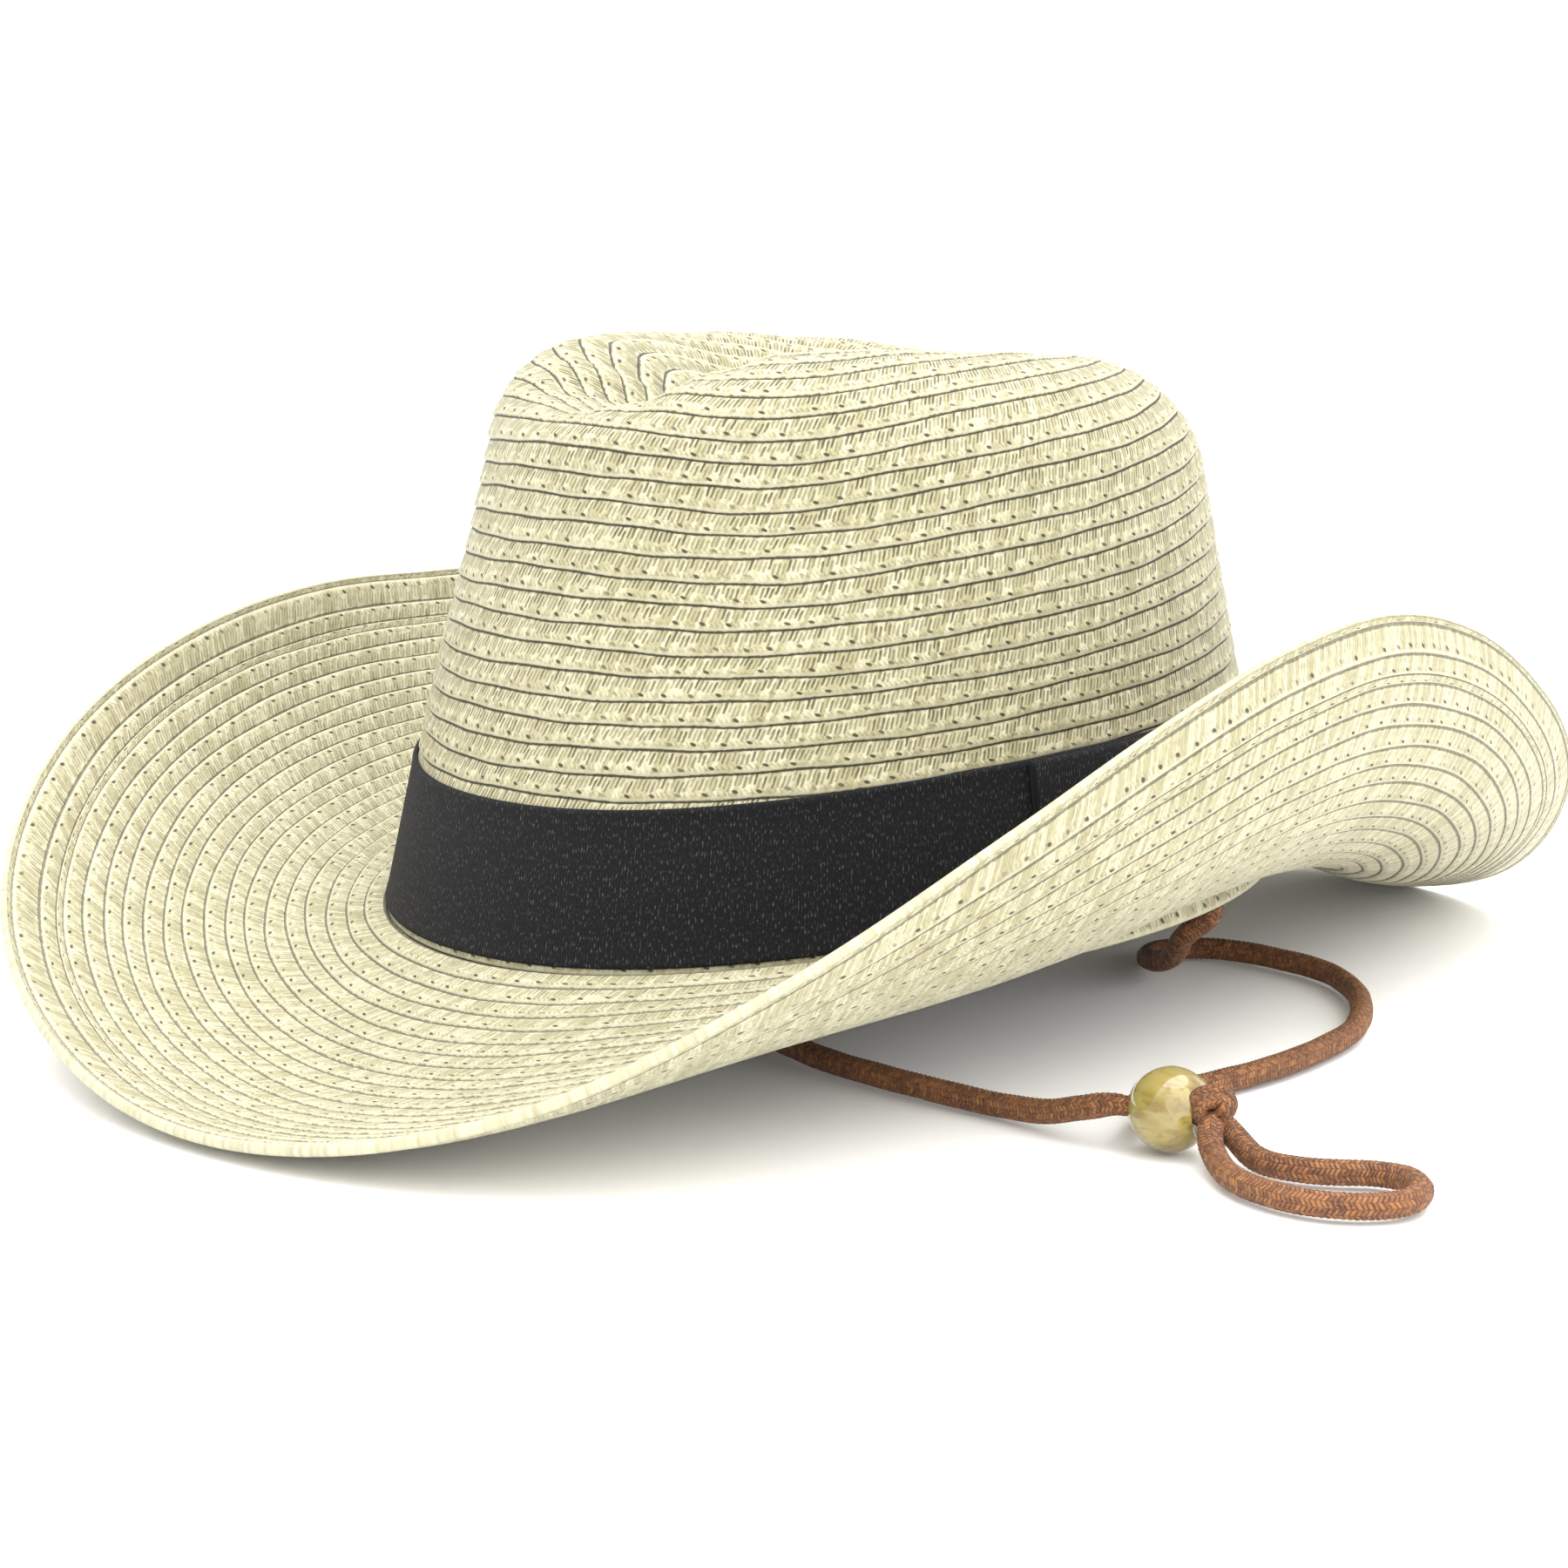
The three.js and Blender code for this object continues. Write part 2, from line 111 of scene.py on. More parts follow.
# angle, slope in degrees at the crown and at the edge
BRIM = np.array([
    (0, -40, 15), (15, -36, 12), (30, -27, 19), (45, -23, 46), (60, -21.5, 80), (75, -14, 102),
    (90, -1, 106), (105, 3, 106), (120, -10, 106), (135, -33, 93.5), (150, -47, 56), (165, -41, 8),
    (180, -30, -12), (195, -32, 16), (210, -29, 58), (225, -18, 80), (240, -4, 75), (255, 5, 64),
    (270, 7, 64), (285, 4, 73), (300, 0, 71.5), (315, -5, 55), (330, -18, 36.5), (345, -33, 24.5),
])
BRIM_ROWS = np.concatenate([np.linspace(0, 16 * BRIM_PITCH, 17), [70.4, 74.4, 80.8, BRIM_WIDTH]])
BRIM_COLUMNS = 416

# Section of one row of braid: share of the row from its free edge, height of the surface there
ROW_SHARES = np.array([0.0, 0.05, 0.3, 0.65, 0.92])
ROW_HEIGHTS = np.array([-0.2, 0.5, 0.42, 0.24, 0.05])
INNER_SHARES = np.array([0.0, 0.9])
INNER_HEIGHTS = np.array([-0.1, 0.35])
# on the brim: share of the row's width at each ring, and on top the pattern's share and the height there
TOP_PLACES = np.array([0.0, 0.08, 0.35, 0.7, 0.95])
TOP_SHARES = np.array([0.999, 0.92, 0.65, 0.3, 0.05])
TOP_HEIGHTS = np.array([-0.2, 0.05, 0.24, 0.42, 0.5])
UNDER_PLACES = np.array([0.0, 0.05, 0.3, 0.62, 0.88])
ROW_END = 0.999  # the pattern's share just before the next row begins
RIM_ROW = 30  # row numbers of the brim's rim and of its underside
UNDER_ROW = 40
ROW_SHIFT = 0.1373  # the pattern starts this much further on at each row, in metres

# Patterns, in metres
STRAW_WIDTH = 0.00096
LOWER_STRAW_WIDTH = 0.0011
STITCH_STEP = 0.0053
RIB_WIDTH = 0.00062
WEFT_RADIAN = 0.00009  # length for one radian of the ribbon's fine weave
THREAD_WIDTH = 0.00088
CORD_COLUMNS = 12.0

# Ribbon
BAND_HEIGHT = 30.5
BAND_THICKNESS = 1.1
JOIN_START = 79.0
JOIN_LENGTH = 34.0
BAND_COLUMNS = 400
MEAN_RADIUS = (CROWN_HALF_LENGTH + CROWN_HALF_WIDTH) / 2

# Cord
CORD = 4.8
BEAD_RADIUS = 8.0
BEAD_HALF_LENGTH = 6.6
BEAD_PLACE = np.array([138.8, -45.2])
BEAD_AXIS = np.array([0.964, 0.266, 0.0]) / math.hypot(0.964, 0.266)
BEAD_ACROSS = np.array([BEAD_AXIS[1], -BEAD_AXIS[0], 0.0])
KNOT_HALF_LENGTH = 3.6
KNOT_TURNS = 2.3
KNOT_SQUEEZE = 0.64  # how thick the cord is in the knot, as a share
STRAND_NARROWING = 0.3  # share lost by a strand over its last NARROWING_LENGTH
NARROWING_LENGTH = 9.0
ROUTE_STEP = 0.28
LEVEL_SHARE = 0.3  # a cord's heading is taken where this much of it is level
CORD_SIDES = 32
BEAD_SIDES = 72
ANCHOR_SIDES = 40
ANCHOR_ANGLE = 116.0
ANCHOR_DEPTH = 5.6
ANCHOR_WIDTH = 12.0
ANCHOR_HEIGHT = 7.0
# the cords' points: x and y from the crown's centre, z above the surface
RIGHT_STRAND = [
    (-63, 24, 15), (-54, 14, 7.5), (-42, 4, 3.6), (-22, -15, 2.6), (0, -33, 2.6), (20, -45, 2.6),
    (39.5, -51, 2.6), (55, -54, 2.6), (68, -54.5, 2.6), (86, -54, 2.6), (102, -52.5, 2.6), (115, -52.4, 4),
    (122.5, -52, 6.2),
]
LEFT_STRAND = [
    (63, 43, 15), (54, 49, 8), (44, 55, 4), (36, 60.5, 2.8), (33.5, 67, 2.6), (37, 75.5, 2.6), (45, 80, 2.6),
    (54.6, 81.1, 2.6), (71.2, 79.3, 2.6), (87.8, 69.6, 2.6), (98.3, 59.1, 2.6), (105.2, 49.9, 2.6),
    (110.5, 40.5, 2.6), (114.5, 28, 2.6), (117.5, 13.3, 2.6), (118.5, 1.2, 2.6), (118.4, -10, 2.6),
    (118.2, -21, 2.6), (120.5, -30.0, 2.6), (125.0, -37.8, 3.6),
]
# out of the knot, round on the surface and back into the knot
LOOP = [
    (147.8, -43.4, 7.2), (149.2, -45.8, 6.8), (151.4, -48.4, 5.0), (155.2, -51.2, 3.5), (160.4, -54.6, 2.6),
    (166.4, -57.6, 2.6), (172.9, -59.1, 2.6), (180, -58.9, 2.6), (186.2, -56.8, 2.6), (191, -53, 2.6),
    (194, -48, 2.6), (193.9, -42.5, 2.6), (190.5, -37, 2.6), (185, -34.2, 2.6), (179.6, -35.6, 2.6),
    (174.5, -40, 2.6), (169, -43.6, 2.6), (163.3, -45, 2.6), (158.3, -44.3, 2.9), (153.2, -42.7, 4.4),
    (150.0, -42.2, 6.0), (147.8, -42.2, 7.0),
]


# Shared sums

def unit(vectors):
    """Each vector over its own length."""
    return vectors / np.maximum(np.linalg.norm(vectors, axis=-1, keepdims=True), 1e-9)


def smooth_step(share):
    """Share held between 0 and 1, then three times its square less twice its cube."""
    share = np.clip(share, 0, 1)
    return share * share * (3 - 2 * share)


def eased_round(values, axis):
    """Values evened out round the hat: each becomes a quarter, a half and a quarter of three, many times."""
    for _ in range(EASING_PASSES):
        values = (np.roll(values, 1, axis=axis) + 2 * values + np.roll(values, -1, axis=axis)) / 4
    return values


def once_round(count):
    """Evenly spaced angles once round, in radians."""
    return np.arange(count) * 2 * math.pi / count


def column_angles(columns):
    """Angle of each column in degrees, from the back of the hat round; the front is 0."""
    return 180 + np.arange(columns) * 360.0 / columns


def from_front(angle):
    """How far round from the front an angle lies, 0 to 180 degrees on either side."""
    return np.abs((angle + 180) % 360 - 180)


def length_to(points):
    """Length along a path, or along several side by side, up to each of its points."""
    steps = np.linalg.norm(np.diff(points, axis=0), axis=-1)
    return np.concatenate([0 * steps[:1], np.cumsum(steps, axis=0)])


def first_place(keys):
    """For each key, the place in the list where that key first stands."""
    known, first = np.unique(keys, return_index=True)
    return first[np.searchsorted(known, keys)]


# Mesh making

def ring_mesh(name, rings, u=None, v_low=None, v_high=None, closed=False):
    """A closed surface from rings of points, each ring joined round to itself and to the next ring.

    rings is (rings, columns, 3) in mm. A closed surface joins its last ring to its first; an open one gets a
    middle point at each end. u is the length along each strip of faces, one more value than there are
    columns, and v_low and v_high are the pattern's value at the strip's two edges. The faces are turned so
    that the volume inside is positive.
    """
    count, columns = rings.shape[:2]
    points = rings.reshape(-1, 3)
    following = np.roll(np.arange(columns), -1)
    strips = count if closed else count - 1
    low = np.arange(strips)[:, None] * columns
    high = (np.arange(1, strips + 1) % count)[:, None] * columns
    here = np.arange(columns)[None, :]
    quads = np.stack([low + here, low + following, high + following, high + here], axis=-1).reshape(-1, 4)
    a, b, c, d = (points[quads[:, k]] for k in range(4))
    volume = np.einsum("ij,ij->i", a, np.cross(b, c)).sum() + np.einsum("ij,ij->i", a, np.cross(c, d)).sum()
    if u is None:
        u = np.tile(np.arange(columns + 1) * MM, (strips, 1))
        v_low = np.arange(strips) * 1.0
        v_high = v_low + 1.0
    u_low, u_high = u[:, :-1], u[:, 1:]
    v0 = np.broadcast_to(v_low[:, None], u_low.shape)
    v1 = np.broadcast_to(v_high[:, None], u_low.shape)
    loops = np.stack([u_low, v0, u_high, v0, u_high, v1, u_low, v1], axis=-1).reshape(-1, 4, 2)
    if volume < 0:
        quads = quads[:, ::-1]
        loops = loops[:, ::-1]
    corner_list = [quads.ravel()]
    loop_list = [loops.reshape(-1, 2)]
    totals = np.full(len(quads), 4)
    if not closed:
        ends = [(0, 0), (count - 1, strips - 1)]
        middles = np.stack([rings[k].mean(axis=0) for k, _ in ends])
        for order, (ring, strip) in enumerate(ends):
            start = ring * columns + np.arange(columns)
            after = ring * columns + following
            pole = np.full(columns, len(points) + order)
            pair = (after, start) if (order == 0) == (volume > 0) else (start, after)
            corner_list.append(np.stack([pair[0], pair[1], pole], axis=-1).ravel())
            value = v_low[strip] if order == 0 else v_high[strip]
            flat = np.stack([u[strip, :-1], np.full(columns, value)], axis=-1)
            loop_list.append(np.repeat(flat, 3, axis=0))
            totals = np.concatenate([totals, np.full(columns, 3)])
        points = np.concatenate([points, middles])
    corners = np.concatenate(corner_list).astype(np.int32)
    mesh = bpy.data.meshes.new(name)
    mesh.vertices.add(len(points))
    mesh.vertices.foreach_set("co", ((points + CROWN_PLACE) * MM).astype(np.float32).ravel())
    mesh.loops.add(len(corners))
    mesh.loops.foreach_set("vertex_index", corners)
    mesh.polygons.add(len(totals))
    starts = np.concatenate([[0], np.cumsum(totals)[:-1]]).astype(np.int32)
    mesh.polygons.foreach_set("loop_start", starts)
    mesh.polygons.foreach_set("use_smooth", np.ones(len(totals), bool))
    mesh.update(calc_edges=True)
    layer = mesh.uv_layers.new(name="braid")
    layer.data.foreach_set("uv", np.concatenate(loop_list).astype(np.float32).ravel())
    mesh.validate()
    return mesh


def new_object(name, data):
    """An object for the data, put into the scene."""
    made = bpy.data.objects.new(name, data)
    bpy.context.scene.collection.objects.link(made)
    return made


def add_piece(name, mesh, material, node):
    """The piece rides on the hat's one body and stands for its node of the model."""
    piece = new_object(name, mesh)
    mesh.materials.append(material)
    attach(piece, "root")
    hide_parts(node)
    return piece


def lengths_round(ring_set):
    """Length along each ring from its first column, back to where it started, in metres."""
    steps = np.linalg.norm(np.roll(ring_set, -1, axis=1) - ring_set, axis=-1)
    return np.concatenate([np.zeros((len(ring_set), 1)), np.cumsum(steps, axis=1)], axis=1) * MM


def ring_normals(rings):
    """Unit normals of a set of rings: the step to the next column crossed with the step to the next ring."""
    around = np.roll(rings, -1, axis=1) - np.roll(rings, 1, axis=1)
    along = np.gradient(rings, axis=0)
    return unit(np.cross(around, along))


# Camera

def make_camera():
    """A camera at its place, looking against the direction given by its turn about the hat and its lift."""
    back = Vector((
        math.sin(CAMERA_TURN) * math.cos(CAMERA_LIFT),
        -math.cos(CAMERA_TURN) * math.cos(CAMERA_LIFT),
        math.sin(CAMERA_LIFT),
    ))
    right = Vector((math.cos(CAMERA_TURN), math.sin(CAMERA_TURN), 0.0))
    up = back.cross(right)
    data = bpy.data.cameras.new("camera")
    data.lens = CAMERA_LENS
    data.sensor_width = 36.0
    data.clip_end = 60.0
    camera = new_object("camera", data)
    place = Matrix((right, up, back)).transposed().to_4x4()
    place.translation = Vector(CAMERA_PLACE)
    camera.matrix_world = place
    bpy.context.scene.camera = camera


# Materials

class Shader:
    """Short names for making and joining a material's nodes."""

    def __init__(self, name, roughness):
        self.material = bpy.data.materials.new(name)
        self.material.use_nodes = True
        self.nodes = self.material.node_tree.nodes
        self.links = self.material.node_tree.links
        self.surface = self.nodes["Principled BSDF"]
        self.set("Roughness", roughness)

    def set(self, name, value):
        """Give one of the surface's own inputs a plain value."""
        self.surface.inputs[name].default_value = value

    def node(self, kind, inputs):
        """A new node; each input is linked to a node's output or given a plain value."""
        node = self.nodes.new("ShaderNode" + kind)
        for name, value in inputs.items():
            if isinstance(value, bpy.types.NodeSocket):
                self.links.new(value, node.inputs[name])
            else:
                node.inputs[name].default_value = value
        return node

    def math(self, operation, first, second=0.0):
        node = self.node("Math", {0: first, 1: second})
        node.operation = operation
        return node.outputs[0]

    def times(self, first, second):
        return self.math("MULTIPLY", first, second)

    def plus(self, first, second):
        return self.math("ADD", first, second)

    def minus(self, first, second):
        return self.math("SUBTRACT", first, second)

    def over(self, first, second):
        return self.math("DIVIDE", first, second)

    def whole(self, value):
        return self.math("FLOOR", value)

    def fraction(self, value):
        return self.math("FRACT", value)

    def ramp(self, value, low, high, out_low=0.0, out_high=1.0):
        """Smooth step of the value from low to high, given out between out_low and out_high."""
        node = self.node("MapRange", {0: value, 1: low, 2: high, 3: out_low, 4: out_high})
        node.interpolation_type = "SMOOTHSTEP"
        return node.outputs["Result"]

    def braid_place(self):
        """Length along the row in metres, and the row's number plus the share across it."""
        coordinates = self.node("UVMap", {})
        coordinates.uv_map = "braid"
        split = self.node("SeparateXYZ", {0: coordinates.outputs["UV"]})
        return split.outputs["X"], split.outputs["Y"]

    def vector(self, x, y):
        return self.node("CombineXYZ", {0: x, 1: y}).outputs[0]

    def object_place(self):
        return self.node("TexCoord", {}).outputs["Object"]

    def noise(self, place, scale, detail):
        return self.node("TexNoise", {"Vector": place, "Scale": scale, "Detail": detail}).outputs["Fac"]

    def chance(self, x, y):
        """Three random values, the same wherever x and y are the same whole numbers."""
        node = self.node("TexWhiteNoise", {})
        node.noise_dimensions = "2D"
        self.links.new(self.vector(x, y), node.inputs["Vector"])
        return self.node("SeparateColor", {0: node.outputs["Color"]}).outputs

    def blend(self, share, first, second):
        """The first colour, turned into the second by the share."""
        node = self.node("Mix", {0: share})
        node.data_type = "RGBA"
        for place, colour in ((6, first), (7, second)):
            if isinstance(colour, bpy.types.NodeSocket):
                self.links.new(colour, node.inputs[place])
            else:
                node.inputs[place].default_value = (*colour, 1)
        return node.outputs[2]

    def finish(self, colour, height, depth):
        """Give the surface its colour and a bump from the height, depth metres deep."""
        self.links.new(colour, self.surface.inputs["Base Color"])
        bump = self.node("Bump", {"Distance": depth, "Strength": 1.0, "Height": height})
        self.links.new(bump.outputs["Normal"], self.surface.inputs["Normal"])
        return self.material


def straw_material(name, gap_strength, seam_shade_strength):
    """Flat plaited straw; the strengths say how dark its gaps are and how strong the painted shade in the
    lines between its rows is.

    Each row has a painted highlight along its raised free edge, painted shade in a dark line under the next
    row's lip and on the edge of its own lip, a line of stitches, and slanting straws with dark gaps of
    uneven strength between them.
    """
    s = Shader(name, 0.62)
    along, row = s.braid_place()
    across = s.fraction(row)
    number = s.whole(row)
    patch = s.noise(s.vector(along, s.times(number, 0.37)), 75.0, 1.0)
    fine = s.noise(s.vector(along, s.times(row, 0.0045)), 900.0, 2.0)

    # slanting straws and the gaps between them
    lean = s.times(s.minus(across, 0.6), s.ramp(patch, 0.3, 0.7, -1.3, -2.3))
    phase = s.plus(s.over(along, STRAW_WIDTH), lean)
    phase = s.plus(phase, s.times(fine, 0.35))
    near = s.plus(phase, 0.5)
    border = s.math("ABSOLUTE", s.minus(s.fraction(near), 0.5))
    first, second, third = s.chance(s.whole(near), number)[:3]
    gap = s.ramp(border, s.ramp(first, 0, 1, 0.3, 0.46), 0.05)
    start = s.ramp(second, 0, 1, 0.26, 0.5)
    gap = s.times(gap, s.ramp(across, start, s.plus(start, 0.1)))
    gap = s.times(gap, s.ramp(across, s.plus(start, 0.56), s.plus(start, 0.44)))
    gap = s.times(gap, s.ramp(third, 0, 1, 0.6 * gap_strength, gap_strength))
    gap = s.times(gap, s.ramp(number, 35, 38, 1.0, 0.6))
    hole = s.times(gap, s.times(s.ramp(third, 0.6, 0.95), s.ramp(across, 0.45, 0.7)))
    straw_light = s.chance(s.whole(phase), number)[0]

    # fainter marks of the straws in the lower part of the row
    low_phase = s.plus(s.over(along, LOWER_STRAW_WIDTH), s.times(across, 2.6))
    low_wave = s.math("SINE", s.times(s.plus(low_phase, fine), 2 * math.pi))
    low_mark = s.times(s.ramp(across, 0.1, 0.18), s.ramp(across, 0.42, 0.3))
    low_mark = s.times(s.ramp(low_wave, 0.1, 1.0), low_mark)
    low_mark = s.times(low_mark, s.ramp(patch, 0.35, 0.65, 0.7, 0.25))

    # painted shade: a dark line under the next row's lip and on the edge of the row's own lip; it also sets
    # the groove's depth in the relief
    uneven = s.times(s.minus(fine, 0.5), 0.085)
    edge = s.plus(across, uneven)
    seam_groove_and_shade = s.math("MAXIMUM", s.ramp(edge, 0.905, 0.945), s.ramp(edge, 0.032, 0.0, 0.0, 0.9))

    # stitches, each a little out of line
    step = s.plus(s.over(along, STITCH_STEP), s.times(number, 0.387))
    shift = s.chance(s.whole(step), number)
    along_stitch = s.minus(s.fraction(step), s.ramp(shift[0], 0, 1, 0.42, 0.58))
    along_stitch = s.times(along_stitch, 5.3)
    across_stitch = s.times(s.minus(across, s.ramp(shift[1], 0, 1, 0.22, 0.28)), 4.8)
    slanted = s.plus(along_stitch, s.times(across_stitch, 0.8))
    across_squared = s.times(s.times(across_stitch, across_stitch), 2.2)
    reach = s.math("SQRT", s.plus(s.times(slanted, slanted), across_squared))
    stitch = s.times(s.ramp(reach, 0.72, 0.34), s.ramp(shift[2], 0, 0.6, 0.35, 1.0))

    # colour and relief
    tone = s.noise(s.object_place(), 16.0, 3.0)
    base = s.blend(s.ramp(tone, 0.35, 0.7), (0.295, 0.268, 0.150), (0.33, 0.302, 0.183))
    base = s.blend(s.ramp(straw_light, 0, 1, 0.0, 0.85), base, (0.50, 0.47, 0.325))
    base = s.blend(s.ramp(fine, 0.42, 0.7, 0.0, 0.45), base, (0.215, 0.192, 0.092))
    base = s.blend(s.times(low_mark, 0.75), base, (0.13, 0.115, 0.048))
    base = s.blend(s.times(gap, 0.88), base, (0.10, 0.086, 0.033))
    base = s.blend(s.times(hole, 0.6), base, (0.03, 0.025, 0.008))
    # painted highlight: a pale band along each row's raised free edge
    base = s.blend(s.ramp(edge, 0.17, 0.08, 0.0, 0.6), base, (0.45, 0.428, 0.31))
    base = s.blend(s.times(stitch, 0.95), base, (0.026, 0.021, 0.007))
    # painted shade along the lines between rows, under each lip
    base = s.blend(s.times(seam_groove_and_shade, seam_shade_strength), base, (0.03, 0.025, 0.008))
    s.set("Sheen Weight", 0.1)
    s.set("Specular IOR Level", 0.35)
    height = s.minus(s.times(gap, -0.9), s.times(low_mark, 0.4))
    height = s.minus(height, s.plus(stitch, seam_groove_and_shade))
    return s.finish(base, s.plus(height, s.times(fine, 0.4)), 0.00022)


def ribbon_material(name, is_join):
    """Ribbed ribbon: fine ribs that follow each other along it, with flecks of lighter thread.

    The pattern's first value runs along the band but up the join, which is darkened nearly to black along
    its starting edge.
    """
    s = Shader(name, 0.86)
    first, second = s.braid_place()
    ribs, other = (second, first) if is_join else (first, second)
    waver = s.noise(s.vector(first, second), 260.0, 1.0)
    phase = s.plus(s.over(ribs, RIB_WIDTH), s.times(waver, 0.5))
    wave = s.ramp(s.math("SINE", s.times(phase, 2 * math.pi)), -1.0, 1.0)
    weft = s.math("SINE", s.plus(s.over(other, WEFT_RADIAN), s.times(phase, math.pi)))
    fleck = s.noise(s.vector(s.times(ribs, 2.6), other), 950.0, 2.0)
    light = s.times(s.ramp(fleck, 0.54, 0.7), s.ramp(wave, 0.2, 0.9, 0.2, 1.0))
    base = s.blend(light, (0.003, 0.003, 0.004), (0.058, 0.057, 0.061))
    if is_join:
        # darkened nearly to black within 1.4 mm of the join's starting edge
        base = s.blend(s.ramp(ribs, 0.0014, 0.0005), base, (0.001, 0.001, 0.001))
    s.set("Sheen Weight", 0.03)
    s.set("Specular IOR Level", 0.2)
    height = s.plus(s.times(wave, 0.8), s.times(weft, 0.12))
    return s.finish(base, s.plus(height, s.times(fleck, 0.5)), 0.00012)


def cord_material():
    """Round braid: small slanting threads in columns round the cord, each of its own brown."""
    s = Shader("braided cord", 0.72)
    along, round_share = s.braid_place()
    column = s.times(round_share, CORD_COLUMNS)
    fibre = s.noise(s.vector(along, s.times(round_share, 0.015)), 1500.0, 2.0)
    slant = s.times(s.math("PINGPONG", column, 1.0), 0.75)
    phase = s.plus(s.over(along, THREAD_WIDTH), slant)
    phase = s.plus(phase, s.times(fibre, 0.3))
    own = s.chance(s.whole(phase), s.whole(column))
    from_middle = s.math("ABSOLUTE", s.minus(s.fraction(phase), 0.5))
    from_column = s.math("ABSOLUTE", s.minus(s.fraction(column), 0.5))
    thread = s.times(s.ramp(from_middle, 0.5, 0.26), s.ramp(from_column, 0.5, 0.36, 0.45, 1.0))
    tone = s.noise(s.object_place(), 70.0, 2.0)
    base = s.blend(s.ramp(tone, 0.35, 0.7), (0.095, 0.030, 0.008), (0.150, 0.050, 0.013))
    base = s.blend(s.ramp(own[0], 0.2, 1.0, 0.0, 0.6), base, (0.35, 0.142, 0.040))
    base = s.blend(s.ramp(own[1], 0.7, 1.0, 0.0, 0.45), base, (0.08, 0.03, 0.015))
    base = s.blend(s.ramp(fibre, 0.45, 0.7, 0.0, 0.5), base, (0.36, 0.158, 0.052))
    dark = s.times(s.minus(1.0, thread), s.ramp(own[2], 0, 1, 0.45, 0.95))
    base = s.blend(dark, base, (0.03, 0.011, 0.006))
    s.set("Sheen Weight", 0.03)
    s.set("Sheen Roughness", 0.4)
    return s.finish(base, s.plus(thread, s.times(fibre, 0.6)), 0.0002)


def wood_material():
    """Polished pale wood: streaks stretched along the bead's bore, honey and olive."""
    s = Shader("polished bead wood", 0.16)
    turned = {"Vector": s.object_place(), "Rotation": (0.0, 0.0, -0.269), "Scale": (0.3, 1.0, 1.0)}
    streaks = s.node("Mapping", turned).outputs["Vector"]
    grain = s.noise(streaks, 620.0, 4.0)
    broad = s.noise(streaks, 170.0, 3.0)
    patch = s.noise(s.object_place(), 110.0, 1.0)
    base = s.blend(s.ramp(broad, 0.35, 0.65), (0.20, 0.145, 0.024), (0.295, 0.232, 0.062))
    base = s.blend(s.ramp(patch, 0.5, 0.72, 0.0, 0.6), base, (0.33, 0.285, 0.10))
    base = s.blend(s.ramp(grain, 0.48, 0.66, 0.0, 0.7), base, (0.16, 0.095, 0.016))
    s.set("Coat Weight", 0.9)
    s.set("Coat Roughness", 0.06)
    return s.finish(base, grain, 0.00003)


def floor_material():
    """Pale matt floor with a faint unevenness."""
    s = Shader("pale floor", 0.9)
    cloud = s.noise(s.object_place(), 3.0, 2.0)
    base = s.blend(cloud, (0.93, 0.93, 0.93), (0.95, 0.95, 0.95))
    s.set("Specular IOR Level", 0.1)
    return s.finish(base, cloud, 0.00001)


# Crown

def ridge_values(angle):
    """Ridge height and inset at each angle, eased between the rows of the ridge table; both sides alike."""
    turned = from_front(angle)
    row = np.clip(np.searchsorted(RIDGE[:, 0], turned, side="right") - 1, 0, len(RIDGE) - 2)
    t = smooth_step((turned - RIDGE[row, 0]) / (RIDGE[row + 1, 0] - RIDGE[row, 0]))
    height = RIDGE[row, 1] + (RIDGE[row + 1, 1] - RIDGE[row, 1]) * t
    inset = RIDGE[row, 2] + (RIDGE[row + 1, 2] - RIDGE[row, 2]) * t
    return height * CROWN_HEIGHT, inset


def wall_point(angle, height):
    """Crown wall: a rounded oval whose half width and half length shrink evenly with height."""
    turn = np.radians(angle)
    c = np.sign(np.cos(turn)) * np.abs(np.cos(turn)) ** (2 / OVAL_POWER)
    s = np.sign(np.sin(turn)) * np.abs(np.sin(turn)) ** (2 / OVAL_POWER)
    middle = (FRONT_TAPER + REAR_TAPER) / 2
    taper = middle + (np.where(c > 0, FRONT_TAPER, REAR_TAPER) - middle) * np.abs(c)
    x = (CROWN_HALF_WIDTH - SIDE_TAPER * height) * s
    y = -(CROWN_HALF_LENGTH - taper * height) * c
    return np.stack([x, y, height + 0 * x], axis=-1)


def beside_front(angle):
    """1 at either side of the crown's front, falling away round it as a bell curve."""
    return np.exp(-((from_front(angle) - SAG_ANGLE) / SAG_SPREAD) ** 2)


def row_height(angle, row):
    """Height of a row's lower edge on the wall: it leans forward, bows and sags, more so higher up."""
    level = ROW_BASE + ROW_PITCH * row
    tilt = JOIN_TILT + TILT_GAIN * (level - JOIN_HEIGHT)
    bow = -JOIN_BOW + BOW_GAIN * (level - JOIN_HEIGHT)
    turn = np.radians(angle)
    sag = SAG_STEP * np.maximum(0, row - SAG_ROW) * beside_front(angle)
    return level - tilt * np.cos(turn) + bow * np.cos(2 * turn) - sag


def edge_plane(y):
    """Height of the crown's lower edge, which lies in one leaning plane."""
    return JOIN_HEIGHT - WALL_BELOW_JOIN + JOIN_TILT / CROWN_HALF_LENGTH * y


